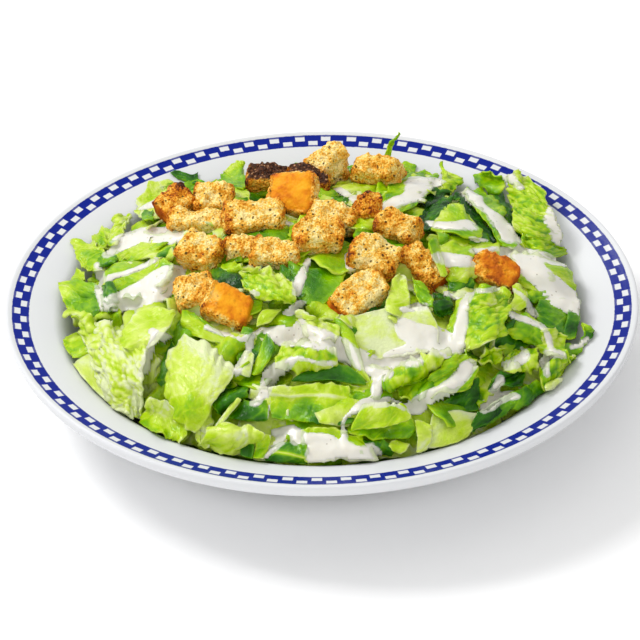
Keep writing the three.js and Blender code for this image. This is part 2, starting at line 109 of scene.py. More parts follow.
# ---- the leaves that show ----
# Each is a patch between four corners, anticlockwise from above, given by the pixels of the photograph where
# they are seen, and the lift of each over the heap's mean surface.
# Then how far the middle bulges, how much it waves, the tones of its first and last side (0 is pale rib,
# 1 is darkest green), and what kind of leaf it is. The tones are the leaves' colours as seen, so they hold
# painted shade besides each leaf's own green: a side turned from the light is painted darker, and small dark
# pieces lie in the gaps between leaves as painted shade.
LEAVES = [
    # left side
    ((104, 394), (143, 426), (150, 346), (84, 321), (1, 2, 7, 4), 4, 1.5, 0.23, 0.19, "puffed"),
    ((118, 350), (150, 352), (184, 311), (140, 309), (7, 8, 8, 7), 3, 0.6, 0.26, 0.28, "flat"),
    ((84, 346), (104, 352), (104, 326), (84, 319), (3, 5, 6, 4), 1.5, 1, 0.34, 0.34, "puffed"),
    ((70, 366), (112, 411), (113, 358), (96, 352), (1, 1, 3, 3), 1.5, 0.3, 0.18, 0.12, "smooth"),
    ((112, 409), (134, 421), (131, 404), (118, 399), (1, 2, 4, 3), 1, 0.3, 0.02, 0.02, "smooth"),
    ((70, 361), (98, 352), (87, 330), (63, 335), (1, 1, 2, 3), 1, 0.6, 0.62, 0.50, "creased"),
    ((56, 281), (69, 323), (102, 315), (101, 285), (7, 3, 4, 5), 1.5, 1, 0.36, 0.76, "flat"),
    ((103, 317), (119, 313), (122, 288), (106, 280), (5, 5, 6, 6), 1.5, 1, 0.84, 0.88, "creased"),
    ((74, 291), (95, 289), (96, 282), (76, 283), (3, 3, 4, 4), 0, 0.3, 0.95, 0.95, "flat"),
    ((72, 283), (89, 284), (86, 272), (80, 268), (3, 3, 4, 4), 0.5, 0.3, 0.42, 0.42, "flat"),
    ((84, 277), (110, 263), (100, 244), (70, 239), (4, 4, 5, 8), 1, 0.8, 0.56, 0.36, "creased"),
    ((92, 251), (110, 252), (107, 238), (96, 235), (3, 3, 4, 4), 1, 0.5, 0.50, 0.50, "creased"),
    ((101, 272), (121, 264), (117, 253), (100, 257), (4, 4, 5, 5), 1, 0.5, 0.80, 0.70, "creased"),
    ((112, 248), (126, 240), (134, 211), (114, 221), (4, 4, 5, 5), 2.5, 1, 0.40, 0.34, "puffed"),
    ((98, 250), (114, 248), (114, 228), (100, 232), (3, 3, 3, 3), 1, 0.6, 0.30, 0.30, "flat"),
    ((131, 214), (163, 223), (177, 188), (150, 190), (3, 4, 5, 5), 2, 0.5, 0.26, 0.30, "flat"),
    ((142, 224), (157, 222), (154, 210), (144, 211), (5, 5, 6, 6), 0.5, 0.3, 0.85, 0.80, "flat"),
    ((172, 187), (200, 185), (201, 179), (175, 180), (3, 3, 4, 4), 1, 0.5, 0.92, 0.90, "flat"),
    ((156, 262), (181, 253), (179, 247), (160, 253), (5, 5, 6, 6), 0.5, 0.3, 0.88, 0.85, "flat"),
    ((158, 292), (173, 285), (177, 264), (161, 271), (5, 5, 6, 6), 1, 0.5, 0.52, 0.48, "creased"),
    ((114, 262), (158, 262), (186, 238), (124, 232), (3, 4, 4, 4), 2, 0.6, 0.40, 0.40, "flat"),
    ((104, 302), (160, 300), (182, 262), (108, 266), (3, 4, 5, 4), 3, 1, 0.50, 0.50, "flat"),
    # lower left
    ((156, 382), (170, 400), (182, 352), (172, 338), (1, 1, 3, 3), 1, 0.5, 0.84, 0.80, "flat"),
    ((162, 388), (190, 442), (241, 367), (180, 330), (2, 2, 6, 6), 6, 0.6, 0.46, 0.02, "flat"),
    ((138, 428), (188, 448), (186, 414), (150, 391), (1, 1, 5, 6), 2.5, 1.3, 0.46, 0.34, "creased"),
    ((189, 441), (206, 453), (214, 396), (193, 386), (2, 2, 4, 4), 2, 0.5, 0.26, 0.30, "creased"),
    ((213, 420), (247, 404), (249, 384), (214, 385), (2, 2, 3, 3), 2, 2, 0.97, 0.92, "creased"),
    ((222, 421), (269, 424), (267, 401), (238, 401), (3, 3, 4, 4), 1.5, 0.3, 0.84, 0.80, "flat"),
    ((209, 433), (216, 434), (242, 400), (236, 399), (5, 5, 7, 7), 0.5, 0.2, 0.24, 0.26, "smooth"),
    ((192, 445), (250, 461), (273, 425), (212, 424), (2, 1, 5, 5), 3, 1.3, 0.36, 0.28, "creased"),
    ((238, 456), (251, 461), (254, 444), (241, 441), (3, 3, 5, 5), -1, 0.2, 0.86, 0.90, "smooth"),
    ((251, 461), (262, 462), (274, 432), (256, 436), (3, 3, 5, 5), 1, 0.3, 0.44, 0.40, "flat"),
    ((181, 333), (233, 349), (206, 319), (184, 309), (4, 4, 5, 5), 2, 0.5, 0.42, 0.36, "smooth"),
    ((240, 338), (249, 342), (256, 329), (243, 326), (4, 4, 5, 5), 0, 0.2, 0.75, 0.75, "smooth"),
    ((236, 372), (250, 378), (256, 352), (246, 348), (4, 4, 6, 6), 1, 0.3, 0.10, 0.12, "smooth"),
    ((251, 377), (262, 373), (278, 347), (268, 329), (4, 4, 6, 6), 0.5, 0.2, 0.52, 0.58, "smooth"),
    ((246, 400), (266, 400), (268, 386), (252, 384), (3, 3, 5, 5), 1, 0.2, 0.12, 0.16, "smooth"),
    # front
    ((262, 462), (307, 466), (309, 444), (282, 436), (1, 1, 4, 4), 1, 0.5, 0.76, 0.72, "ribbed"),
    ((304, 466), (384, 462), (362, 436), (300, 428), (1, 1, 4, 4), 2.5, 0.7, 0.40, 0.42, "flat"),
    ((268, 422), (356, 427), (350, 386), (268, 383), (3, 3, 5, 5), 1, 0.3, 0.76, 0.26, "side rib"),
    ((288, 381), (369, 385), (346, 364), (316, 366), (5, 5, 6, 6), 1, 0.2, 0.84, 0.78, "smooth"),
    ((270, 374), (337, 368), (336, 345), (284, 340), (5, 5, 7, 7), 3, 1.2, 0.38, 0.36, "puffed"),
    ((300, 332), (338, 346), (336, 324), (300, 308), (5, 5, 7, 7), 3, 1.2, 0.36, 0.40, "puffed"),
    ((354, 372), (372, 385), (347, 322), (332, 317), (4, 4, 7, 7), 2, 0.3, 0.36, 0.42, "smooth"),
    ((355, 362), (440, 353), (430, 305), (342, 317), (4, 6, 10, 5), -3, 0.5, 0.03, 0.0, "smooth"),
    ((381, 312), (412, 318), (409, 275), (398, 272), (6, 6, 8, 8), 1.5, 0.4, 0.16, 0.06, "flat"),
    ((414, 310), (434, 310), (426, 289), (409, 277), (8, 7, 9, 9), 1.5, 0.6, 0.50, 0.44, "creased"),
    ((366, 314), (380, 312), (374, 303), (367, 304), (3, 3, 4, 4), 0, 0.2, 0.80, 0.80, "smooth"),
    ((380, 393), (448, 366), (447, 349), (381, 373), (5, 6, 8, 7), 2.5, 1.2, 0.46, 0.40, "puffed"),
    ((398, 404), (432, 394), (448, 364), (392, 382), (4, 5, 6, 5), 1.5, 1, 0.48, 0.50, "creased"),
    ((409, 410), (474, 386), (474, 354), (450, 350), (6, 6, 8, 8), 2.5, 1, 0.48, 0.42, "creased"),
    ((430, 413), (479, 413), (481, 378), (456, 390), (1, 1, 3, 3), 1, 0.3, 0.84, 0.84, "flat"),
    ((352, 402), (384, 402), (396, 386), (356, 388), (2, 2, 3, 3), 1, 0.5, 0.55, 0.60, "creased"),
    ((343, 438), (413, 442), (414, 416), (360, 410), (3, 3, 4, 4), -1, 0.6, 0.62, 0.30, "flat"),
    ((346, 436), (412, 420), (403, 404), (364, 405), (6, 7, 9, 8), 1.5, 0.4, 0.40, 0.30, "flat"),
    ((340, 452), (392, 458), (392, 440), (346, 438), (0, 0, 2, 2), 1, 0.8, 0.85, 0.70, "creased"),
    ((388, 444), (400, 456), (414, 441), (392, 438), (3, 3, 4, 4), 0.5, 0.5, 0.22, 0.22, "flat"),
    ((428, 450), (466, 440), (481, 413), (431, 413), (2, 2, 4, 4), 1.5, 0.2, 0.20, 0.04, "smooth"),
    ((417, 455), (428, 451), (434, 424), (414, 417), (4, 4, 6, 6), 1, 0.3, 0.18, 0.24, "flat"),
    # middle
    ((205, 287), (247, 292), (240, 272), (211, 268), (6, 6, 6, 6), 1.5, 0.3, 0.98, 0.94, "flat"),
    ((244, 294), (300, 309), (288, 276), (240, 267), (6, 6, 7, 7), 2.5, 1.3, 0.52, 0.38, "puffed"),
    ((246, 316), (262, 312), (264, 300), (246, 300), (4, 4, 5, 5), 0.5, 0.2, 0.58, 0.58, "smooth"),
    ((256, 328), (272, 322), (284, 308), (262, 310), (4, 4, 5, 5), 0.5, 0.2, 0.34, 0.40, "smooth"),
    ((222, 272), (242, 274), (246, 262), (226, 262), (5, 5, 6, 6), 1, 0.8, 0.30, 0.40, "creased"),
    ((300, 268), (301, 303), (325, 305), (349, 272), (4, 4, 4, 4), 0.5, 0.2, 0.80, 0.44, "smooth"),
    ((286, 290), (306, 300), (306, 270), (290, 262), (3, 3, 4, 4), 1, 0.5, 0.80, 0.80, "creased"),
    ((280, 278), (292, 282), (292, 268), (280, 266), (5, 5, 5, 5), 0, 0.3, 0.95, 0.95, "flat"),
    ((288, 236), (298, 236), (298, 222), (290, 222), (4, 4, 5, 5), 0.5, 0.3, 0.60, 0.60, "flat"),
    # right
    ((462, 354), (500, 334), (512, 292), (474, 287), (5, 7, 9, 8), 5, 1.3, 0.40, 0.44, "puffed"),
    ((444, 353), (463, 356), (474, 290), (452, 308), (2, 4, 7, 4), 2, 0.5, 0.36, 0.40, "flat"),
    ((432, 322), (450, 318), (456, 292), (436, 292), (3, 3, 4, 4), 1, 1, 0.92, 0.88, "creased"),
    ((448, 294), (472, 290), (470, 272), (450, 274), (3, 3, 4, 4), 1, 0.6, 0.88, 0.85, "creased"),
    ((476, 368), (500, 366), (500, 346), (478, 350), (3, 3, 5, 5), 2, 1, 0.44, 0.46, "puffed"),
    ((480, 354), (540, 350), (524, 320), (494, 328), (2, 2, 5, 5), 2, 0.6, 0.88, 0.76, "flat"),
    ((500, 336), (546, 350), (544, 322), (508, 312), (5, 5, 6, 6), 1.5, 0.8, 0.60, 0.50, "creased"),
    ((508, 312), (528, 312), (520, 284), (508, 284), (8, 8, 9, 9), 1.5, 0.3, 0.24, 0.24, "flat"),
    ((534, 322), (566, 342), (573, 300), (534, 297), (5, 4, 6, 6), 2, 0.4, 0.66, 0.58, "flat"),
    ((562, 340), (577, 340), (580, 300), (570, 298), (5, 5, 7, 7), 1, 0.3, 0.66, 0.78, "smooth"),
    ((518, 302), (554, 302), (548, 287), (520, 287), (4, 4, 5, 5), 1, 0.5, 0.56, 0.52, "puffed"),
    ((538, 356), (574, 364), (563, 334), (542, 327), (4, 3, 5, 6), 3, 1.3, 0.42, 0.40, "puffed"),
    ((574, 348), (588, 350), (593, 325), (580, 321), (3, 3, 6, 6), 1.5, 1, 0.60, 0.62, "creased"),
    ((558, 362), (578, 364), (584, 346), (564, 342), (2, 2, 4, 4), 1, 0.6, 0.56, 0.50, "creased"),
    ((500, 372), (538, 372), (536, 350), (504, 352), (4, 4, 5, 5), 2, 1.2, 0.46, 0.44, "puffed"),
    ((484, 398), (524, 388), (532, 366), (498, 370), (2, 2, 5, 4), 1.5, 1, 0.90, 0.84, "creased"),
    ((540, 398), (573, 372), (572, 350), (538, 368), (2, 2, 5, 5), 1.5, 1.3, 0.48, 0.44, "puffed"),
    ((545, 394), (560, 382), (560, 376), (546, 384), (4, 4, 5, 5), 1, 0.4, 0.08, 0.08, "flat"),
    ((466, 438), (546, 396), (536, 379), (478, 411), (1, 1, 4, 4), 2, 0.4, 0.78, 0.60, "flat"),
    ((468, 436), (504, 412), (498, 400), (478, 412), (3, 3, 5, 5), 1, 0.3, 0.84, 0.84, "flat"),
    # back right
    ((520, 291), (579, 314), (567, 262), (507, 253), (4, 4, 7, 6), 5, 0.7, 0.34, 0.30, "flat"),
    ((516, 253), (568, 262), (540, 190), (503, 171), (3, 5, 18, 17), 4, 1.6, 0.50, 0.42, "puffed"),
    ((467, 186), (503, 198), (504, 176), (484, 169), (7, 8, 14, 13), 2, 1.6, 0.55, 0.45, "creased"),
    ((514, 242), (524, 238), (503, 186), (489, 190), (5, 5, 9, 8), 1, 0.6, 0.84, 0.80, "flat"),
    ((497, 249), (519, 247), (484, 185), (455, 189), (6, 7, 9, 9), 2.5, 0.6, 0.52, 0.48, "flat"),
    ((484, 240), (498, 248), (462, 194), (450, 196), (4, 4, 5, 5), 1, 0.5, 0.95, 0.95, "flat"),
    ((427, 233), (487, 244), (472, 222), (450, 204), (5, 6, 8, 8), 3, 0.6, 0.42, 0.34, "flat"),
    ((430, 246), (500, 256), (490, 240), (426, 233), (4, 4, 5, 5), 1, 0.4, 0.24, 0.40, "flat"),
    ((468, 244), (490, 245), (488, 235), (470, 230), (6, 6, 7, 7), 0.5, 0.2, 0.60, 0.62, "smooth"),
    ((444, 283), (476, 278), (472, 247), (434, 245), (4, 5, 7, 7), 3, 0.5, 0.34, 0.34, "flat"),
    ((441, 278), (448, 276), (434, 239), (424, 246), (9, 9, 18, 18), 0, 0.3, 0.28, 0.36, "smooth"),
    ((433, 246), (446, 244), (446, 234), (436, 234), (5, 5, 6, 6), 0.5, 0.3, 0.50, 0.50, "flat"),
    ((476, 262), (500, 260), (501, 245), (472, 244), (4, 4, 5, 5), 2, 0.5, 0.22, 0.24, "flat"),
    ((420, 240), (442, 222), (453, 191), (423, 194), (2, 3, 4, 4), 1, 1, 0.95, 0.88, "creased"),
    ((417, 207), (427, 205), (426, 192), (417, 193), (6, 6, 7, 7), 0.5, 0.8, 0.38, 0.40, "creased"),
    ((439, 194), (450, 196), (462, 178), (439, 175), (3, 3, 8, 8), 1.5, 1, 0.38, 0.36, "puffed"),
    ((440, 182), (445, 182), (443, 165), (441, 164), (8, 8, 16, 16), 0.3, 0.2, 0.36, 0.40, "flat"),
    ((370, 219), (419, 209), (439, 176), (408, 171), (4, 5, 7, 6), 3, 0.5, 0.50, 0.45, "flat"),
    ((401, 179), (413, 179), (416, 170), (401, 167), (4, 4, 5, 5), 0.5, 0.3, 0.66, 0.62, "flat"),
    ((377, 170), (389, 170), (396, 136), (394, 136), (1, 1, 26, 26), 0.5, 0.2, 0.35, 0.48, "flat"),
    ((372, 224), (402, 214), (400, 200), (380, 206), (3, 3, 4, 4), 1, 0.5, 0.60, 0.60, "creased"),
    # back
    ((213, 185), (247, 192), (247, 172), (236, 160), (5, 6, 14, 17), 1.5, 0.6, 0.66, 0.42, "flat"),
    ((232, 204), (250, 206), (250, 188), (232, 188), (4, 4, 6, 6), 0.5, 0.3, 0.36, 0.36, "flat"),
]
# Leaves behind the heap's crest, which no line of sight reaches: x, y, lift of each corner, then as above.
HIDDEN_LEAVES = [
    ((-30, 78, 2), (8, 80, 2), (10, 112, 2), (-30, 110, 2), 2, 1.5, 0.60, 0.60, "creased"),
    ((5, 84, 2), (38, 84, 2), (36, 112, 2), (6, 114, 2), 2, 1.5, 0.55, 0.60, "creased"),
    ((-78, 88, 1), (-48, 84, 1), (-46, 106, 1), (-70, 104, 1), 2, 1.0, 0.60, 0.70, "creased"),
]
# What a kind of leaf has: height of its blisters and of its wide quilting, depth of its ragged edge, height
# of its frills, how far it strays from its four corners, how round they are, how clear its side veins are,
# and the width of a rib along it and where across, from -1 to 1.
KINDS = {
    "smooth": (0.04, 0.12, 0.4, 0.3, 0.8, 0.12, 0.25, 0, 0),
    "flat": (0.22, 0.55, 0.8, 0.9, 1.6, 0.16, 1.0, 0, 0),
    "creased": (0.55, 1.30, 1.3, 1.6, 1.8, 0.16, 1.0, 0, 0),
    "puffed": (1.15, 1.50, 1.1, 1.4, 1.6, 0.16, 1.0, 0, 0),
    "ribbed": (0.22, 0.55, 0.8, 0.9, 1.6, 0.16, 1.0, 2, 0),
    "side rib": (0.22, 0.55, 0.8, 0.9, 1.6, 0.16, 1.0, 2.5, 0.35),
}
# What all leaves share. A wave's three numbers are the angle that it gains over half a leaf's length, over
# half its width, and from leaf to leaf.
CURL, RUFFLE_MIDDLE = 1.4, 0.35
CURL_WAVE = (-1.1, 2.6, 1.7)
RUFFLE_WAVE = (4, 1.5, 2.4)
EDGE_OUTSET = 1.07
DEEPEST_NICK = 0.4
SCALLOP_DEPTH, NICK_DEPTH, EDGE_WANDER = 0.9, 0.35, 0.9
SIDE_ROW, END_ROW, END_RAGGED = 3, 5, 0.7
FEWEST_POINTS = 6
STRAY_SIZE, SWELL_SIZE, SWELL = 9, 8, 0.6
WARP, WARP_SIZE = 2.2, 11
QUILT_CELL = (7.5, 5.5)
BLISTER_CELL = (3.1, 2.8)
BLISTER_REACH = 0.72
PATCH_SIZE, PATCH_MEAN, PATCH_SWING = 14, 0.6, 0.4
VEIN_SPACING, VEIN_SLANT, VEIN_WIDTH = 10.5, 0.75, 0.075
VEIN_WANDER, VEIN_WANDER_SIZE, VEIN_DEPTH = 1.6, 6, 0.6
PILLOW_STEEPNESS = 1.6
RIB_TAPER, RIB_HEIGHT, RIB_UNDER, RELIEF_UNDER = (0.7, 0.3), 0.9, 0.4, 0.7
FRILL_LENGTH, FRILL_WANDER, FRILL_WANDER_SIZE = 9, 0.8, 13
END_FRILL_LENGTH, END_FRILL_SHARE = 8, 0.5
CREASE_WIDTH, CREASE_CLEAR, CREASE_LEAST = 0.3, 0.8, 0.35
FINE_CREASE, FINE_CLEAR, BRANCH_CLEAR = 0.5, 1.2, 1.5
RIM_WIDTH = (0.2, 1.1)
TONE_DRIFT, TONE_DRIFT_SIZE = 0.12, 8
# painted light on the blisters: their domes are painted lighter as a painted highlight, the hollows between
# them darker as painted shade
BLISTER_PAINTED_LIGHT, DOME_MIDDLE = 0.30, 0.4
RIB_PALE = 0.85
LEAF_APART = 100
# painted shade: leaves toward the right, away from the key light, are made darker by this much over this span
# of x
RIGHT_PAINTED_SHADE, RIGHT_SHADE_SPAN = 0.09, (-40, 50)
FILM_DEPTH = (-0.9, 1.0)
FRONT_Y = -20
# To the camera a raised point looks farther back, by VIEW_LEAN for each millimetre over VIEW_LIFT, so leaves
# lie that much nearer.
VIEW_LIFT = 3.0
VIEW_LEAN = 1.45
SIGHT_STEPS, SEEN_STEPS = 60, 3

# ---- smaller leaf pieces deeper in the heap, and a ring of them round its foot ----
FILLER_COUNT, FILLER_SEED, FILLER_FIRST_SEED = 170, 11, 200
FILLER_REACH = 99.0
FILLER_HALF_LENGTH, FILLER_HALF_WIDTH = (11, 19), (8, 13)
FILLER_TILT = (-4, 4)
FILLER_LIFT = (-4.2, -0.8)
FILLER_TONE, FILLER_TONE_STEP = (0.24, 0.74), (-0.2, 0.2)
FILLER_BULGE, FILLER_RUFFLE = (-1, 5), (0.5, 2.0)
FILLER_KINDS = ("flat", "creased", "puffed")
FILLER_FILM_DEPTH = (0.2, 1.4)
RING_COUNT, RING_FIRST_SEED = 44, 400
RING_STRAY = (-0.3, 0.3)
RING_RADIUS = (98, 102)
RING_HALF_LENGTH, RING_HALF_WIDTH = (9, 14), (9, 11)
RING_LIFT, RING_SLOPE = (-3.0, 0.0), (1, 5)
RING_TONE = (0.22, 0.60)
RING_BULGE, RING_RUFFLE = (0, 3), (0.5, 1.5)


# ---- noise ----
HASH_STEPS = (127.1, 311.7, 191.3, 74.7)
HASH_SCALE = 43758.5453
CELL_MARGIN, CELL_JITTER = 0.1, 0.8
FAR = 9.0


def hashed(ix, iy, iz, seed):
    """A repeatable value from 0 to 1 for each cell."""
    step_x, step_y, step_z, step_seed = HASH_STEPS
    wave = np.sin(ix * step_x + iy * step_y + iz * step_z + seed * step_seed) * HASH_SCALE
    return wave - np.floor(wave)


def eased(t):
    """A value from 0 to 1 with its rise made gentle at both ends."""
    return t * t * (3 - 2 * t)


def smooth(low, high, x):
    return eased(np.clip((x - low) / (high - low), 0, 1))


def value_noise(u, v, seed):
    """Smooth noise from -1 to 1, with lumps about one unit across."""
    iu, iv = np.floor(u), np.floor(v)
    fu, fv = eased(u - iu), eased(v - iv)
    low = hashed(iu, iv, 0, seed) * (1 - fu) + hashed(iu + 1, iv, 0, seed) * fu
    high = hashed(iu, iv + 1, 0, seed) * (1 - fu) + hashed(iu + 1, iv + 1, 0, seed) * fu
    return 2 * (low * (1 - fv) + high * fv) - 1


def solid_noise(points, size, seed):
    """Smooth noise from -1 to 1 at points in space, with lumps about that size across."""
    whole = np.floor(points / size)
    part = eased(points / size - whole)
    total = 0.0
    for step in np.ndindex(2, 2, 2):
        x, y, z = (part[:, k] if step[k] else 1 - part[:, k] for k in range(3))
        corner = (whole[:, k] + step[k] for k in range(3))
        total = total + x * y * z * hashed(*corner, seed)
    return 2 * total - 1


def solid_cells(points, size, seed):
    """Distance to the nearest of jittered points in space that lie about that size apart."""
    whole = np.floor(points / size)
    first = np.full(len(points), FAR)
    for step in np.ndindex(3, 3, 3):
        cell = whole + np.array(step) - 1
        jitter = [hashed(cell[:, 0], cell[:, 1], cell[:, 2], seed + k) for k in range(3)]
        spot = cell + CELL_MARGIN + CELL_JITTER * np.stack(jitter, axis=-1)
        first = np.minimum(first, np.linalg.norm(points / size - spot, axis=1))
    return first


def cells(u, v, seed):
    """Nearest and second nearest distance to jittered points one unit apart."""
    iu, iv = np.floor(u), np.floor(v)
    first = np.full(np.shape(u), FAR)
    second = np.full(np.shape(u), FAR)
    for du, dv in np.ndindex(3, 3):
        cu, cv = iu + du - 1, iv + dv - 1
        pu = cu + 0.5 + CELL_JITTER * (hashed(cu, cv, 0, seed) - 0.5)
        pv = cv + 0.5 + CELL_JITTER * (hashed(cu, cv, 0, seed + 5) - 0.5)
        dist = np.hypot(u - pu, v - pv)
        second = np.minimum(second, np.maximum(first, dist))
        first = np.minimum(first, dist)
    return first, second


# ---- the heap's and the plate's form, as in the part ----
def heap_top(x, y):
    """Height of the heap's mean surface."""
    share = np.minimum(np.hypot(x, y) / HEAP_RADIUS, HEAP_END)
    return HEAP_TOP_Z - HEAP_DROP * share ** HEAP_POWER


def heap_place(u, v):
    """The place on the heap, a little raised, that is seen at a pixel: where that line of sight meets it."""
    right, up = u - FRAME_SIZE / 2, FRAME_SIZE / 2 - v
    right, up = right * math.cos(ROLL) + up * math.sin(ROLL), up * math.cos(ROLL) - right * math.sin(ROLL)
    back = np.array(TOWARD_CAMERA)
    above = np.array((0, math.sin(ELEVATION), math.cos(ELEVATION)))
    sight = right * np.array((1, 0, 0)) + up * above - FOCAL_PIXELS * back
    eye = np.array(CAMERA_TARGET) + CAMERA_DISTANCE * back
    place = np.array(CAMERA_TARGET)
    for _ in range(SIGHT_STEPS):
        level = heap_top(place[0], place[1]) + VIEW_LIFT
        place = eye + sight * (level - eye[2]) / sight[2]
    return float(place[0]), float(place[1])


def bezier(p0, p1, p2, p3, steps):
    t = np.linspace(0, 1, steps + 1)[:, None]
    p0, p1, p2, p3 = (np.array(p, float) for p in (p0, p1, p2, p3))
    return (1 - t) ** 3 * p0 + 3 * (1 - t) ** 2 * t * p1 + 3 * (1 - t) * t * t * p2 + t ** 3 * p3


WELL = bezier(*WELL_BEND)


def plate_top(radius):
    """Height of the plate's upper side."""
    share = (radius - SHOULDER_RADIUS) / (BAND_OUTER_RADIUS - SHOULDER_RADIUS)
    rim = SHOULDER_Z + share * (BAND_OUTER_Z - SHOULDER_Z)
    well = np.interp(radius, WELL[:, 0], WELL[:, 1])
    return np.where(radius > SHOULDER_RADIUS, rim, well)


# ---- meshes ----
def linked(name, data):
    """A new object in the scene that shows a mesh, a light or a camera."""
    thing = bpy.data.objects.new(name, data)
    bpy.context.collection.objects.link(thing)
    return thing


def dressed_mesh(name, mesh, material, attributes, smooth_shade=True):
    """An object for a mesh whose points get their attributes, and whose faces get their material."""
    for key, values in attributes.items():
        values = np.asarray(values, np.float32)
        kind, field = ("FLOAT", "value") if values.ndim == 1 else ("FLOAT_VECTOR", "vector")
        mesh.attributes.new(key, kind, "POINT").data.foreach_set(field, values.ravel())
    mesh.polygons.foreach_set("use_smooth", np.full(len(mesh.polygons), smooth_shade))
    mesh.materials.clear()
    mesh.materials.append(material)
    return linked(name, mesh)


def new_mesh(name, vertices, faces, material, smooth_shade=True, attributes=None):
    """A mesh object from an array of vertices in millimetres and an array of quads or triangles."""
    mesh = bpy.data.meshes.new(name)
    vertices = np.asarray(vertices, np.float32) * MM
    faces = np.asarray(faces, np.int32)
    sides = faces.shape[1]
    mesh.vertices.add(len(vertices))
    mesh.vertices.foreach_set("co", vertices.ravel())
    mesh.loops.add(faces.size)
    mesh.loops.foreach_set("vertex_index", faces.ravel())
    mesh.polygons.add(len(faces))
    mesh.polygons.foreach_set("loop_start", np.arange(0, faces.size, sides, dtype=np.int32))
    mesh.update(calc_edges=True)
    mesh.validate()
    return dressed_mesh(name, mesh, material, attributes or {}, smooth_shade)


def read_vertices(mesh, field="co"):
    values = np.empty(len(mesh.vertices) * 3, np.float32)
    mesh.vertices.foreach_get(field, values)
    return values.reshape(-1, 3)


def grid_faces(rows, columns, wrap=False):
    """Quads of a grid of vertices with that many rows and columns."""
    i, j = np.meshgrid(np.arange(rows - 1), np.arange(columns if wrap else columns - 1), indexing="ij")
    a = i * columns + j
    b = i * columns + (j + 1) % columns
    return np.stack((a, a + columns, b + columns, b), axis=-1).reshape(-1, 4)


def ring_places(radii, segments):
    """x and y of rings of points, a row for each radius."""
    angles = np.linspace(0, 2 * math.pi, segments, endpoint=False)
    return radii[:, None] * np.cos(angles), radii[:, None] * np.sin(angles)


def ringed_solid(x, y, z, start, end, flip=False):
    """Vertices and triangles of a solid from rings of points, with a fan round the axis at each end."""
    rows, segments = x.shape
    count = rows * segments
    quads = grid_faces(rows, segments, wrap=True)
    first = np.arange(segments)
    last = first + count - segments
    fans = np.concatenate((
        np.stack((np.full(segments, count), first, np.roll(first, -1)), axis=-1),
        np.stack((np.full(segments, count + 1), np.roll(last, -1), last), axis=-1),
    ))
    if flip:
        quads, fans = quads[:, ::-1], fans[:, [0, 2, 1]]
    vertices = np.concatenate((np.stack((x, y, z), axis=-1).reshape(-1, 3), [(0, 0, start), (0, 0, end)]))
    return vertices, np.concatenate((quads[:, [0, 1, 2]], quads[:, [0, 2, 3]], fans))


def closed_sheet(top, bottom, rows, columns):
    """A closed solid from two grids of vertices with the same rows and columns."""
    count = rows * columns
    up = grid_faces(rows, columns)
    down = up[:, ::-1] + count
    ring = np.concatenate((
        np.arange(columns),
        np.arange(1, rows) * columns + columns - 1,
        (rows - 1) * columns + np.arange(columns - 2, -1, -1),
        np.arange(rows - 2, 0, -1) * columns,
    ))
    after = np.roll(ring, -1)
    sides = np.stack((ring, after, after + count, ring + count), axis=-1)
    return np.concatenate((top, bottom)), np.concatenate((up, down, sides))


class Pile:
    """Vertices, faces and attributes of many small closed meshes joined in one."""

    def __init__(self):
        self.vertices, self.faces, self.attributes, self.count = [], [], {}, 0

    def add(self, vertices, faces, **attributes):
        self.vertices.append(vertices)
        self.faces.append(faces + self.count)
        self.count += len(vertices)
        for key, values in attributes.items():
            self.attributes.setdefault(key, []).append(values)

    def piece(self, name, material):
        named = {key: np.concatenate(values) for key, values in self.attributes.items()}
        vertices, faces = np.concatenate(self.vertices), np.concatenate(self.faces)
        return new_mesh(name, vertices, faces, material, attributes=named)


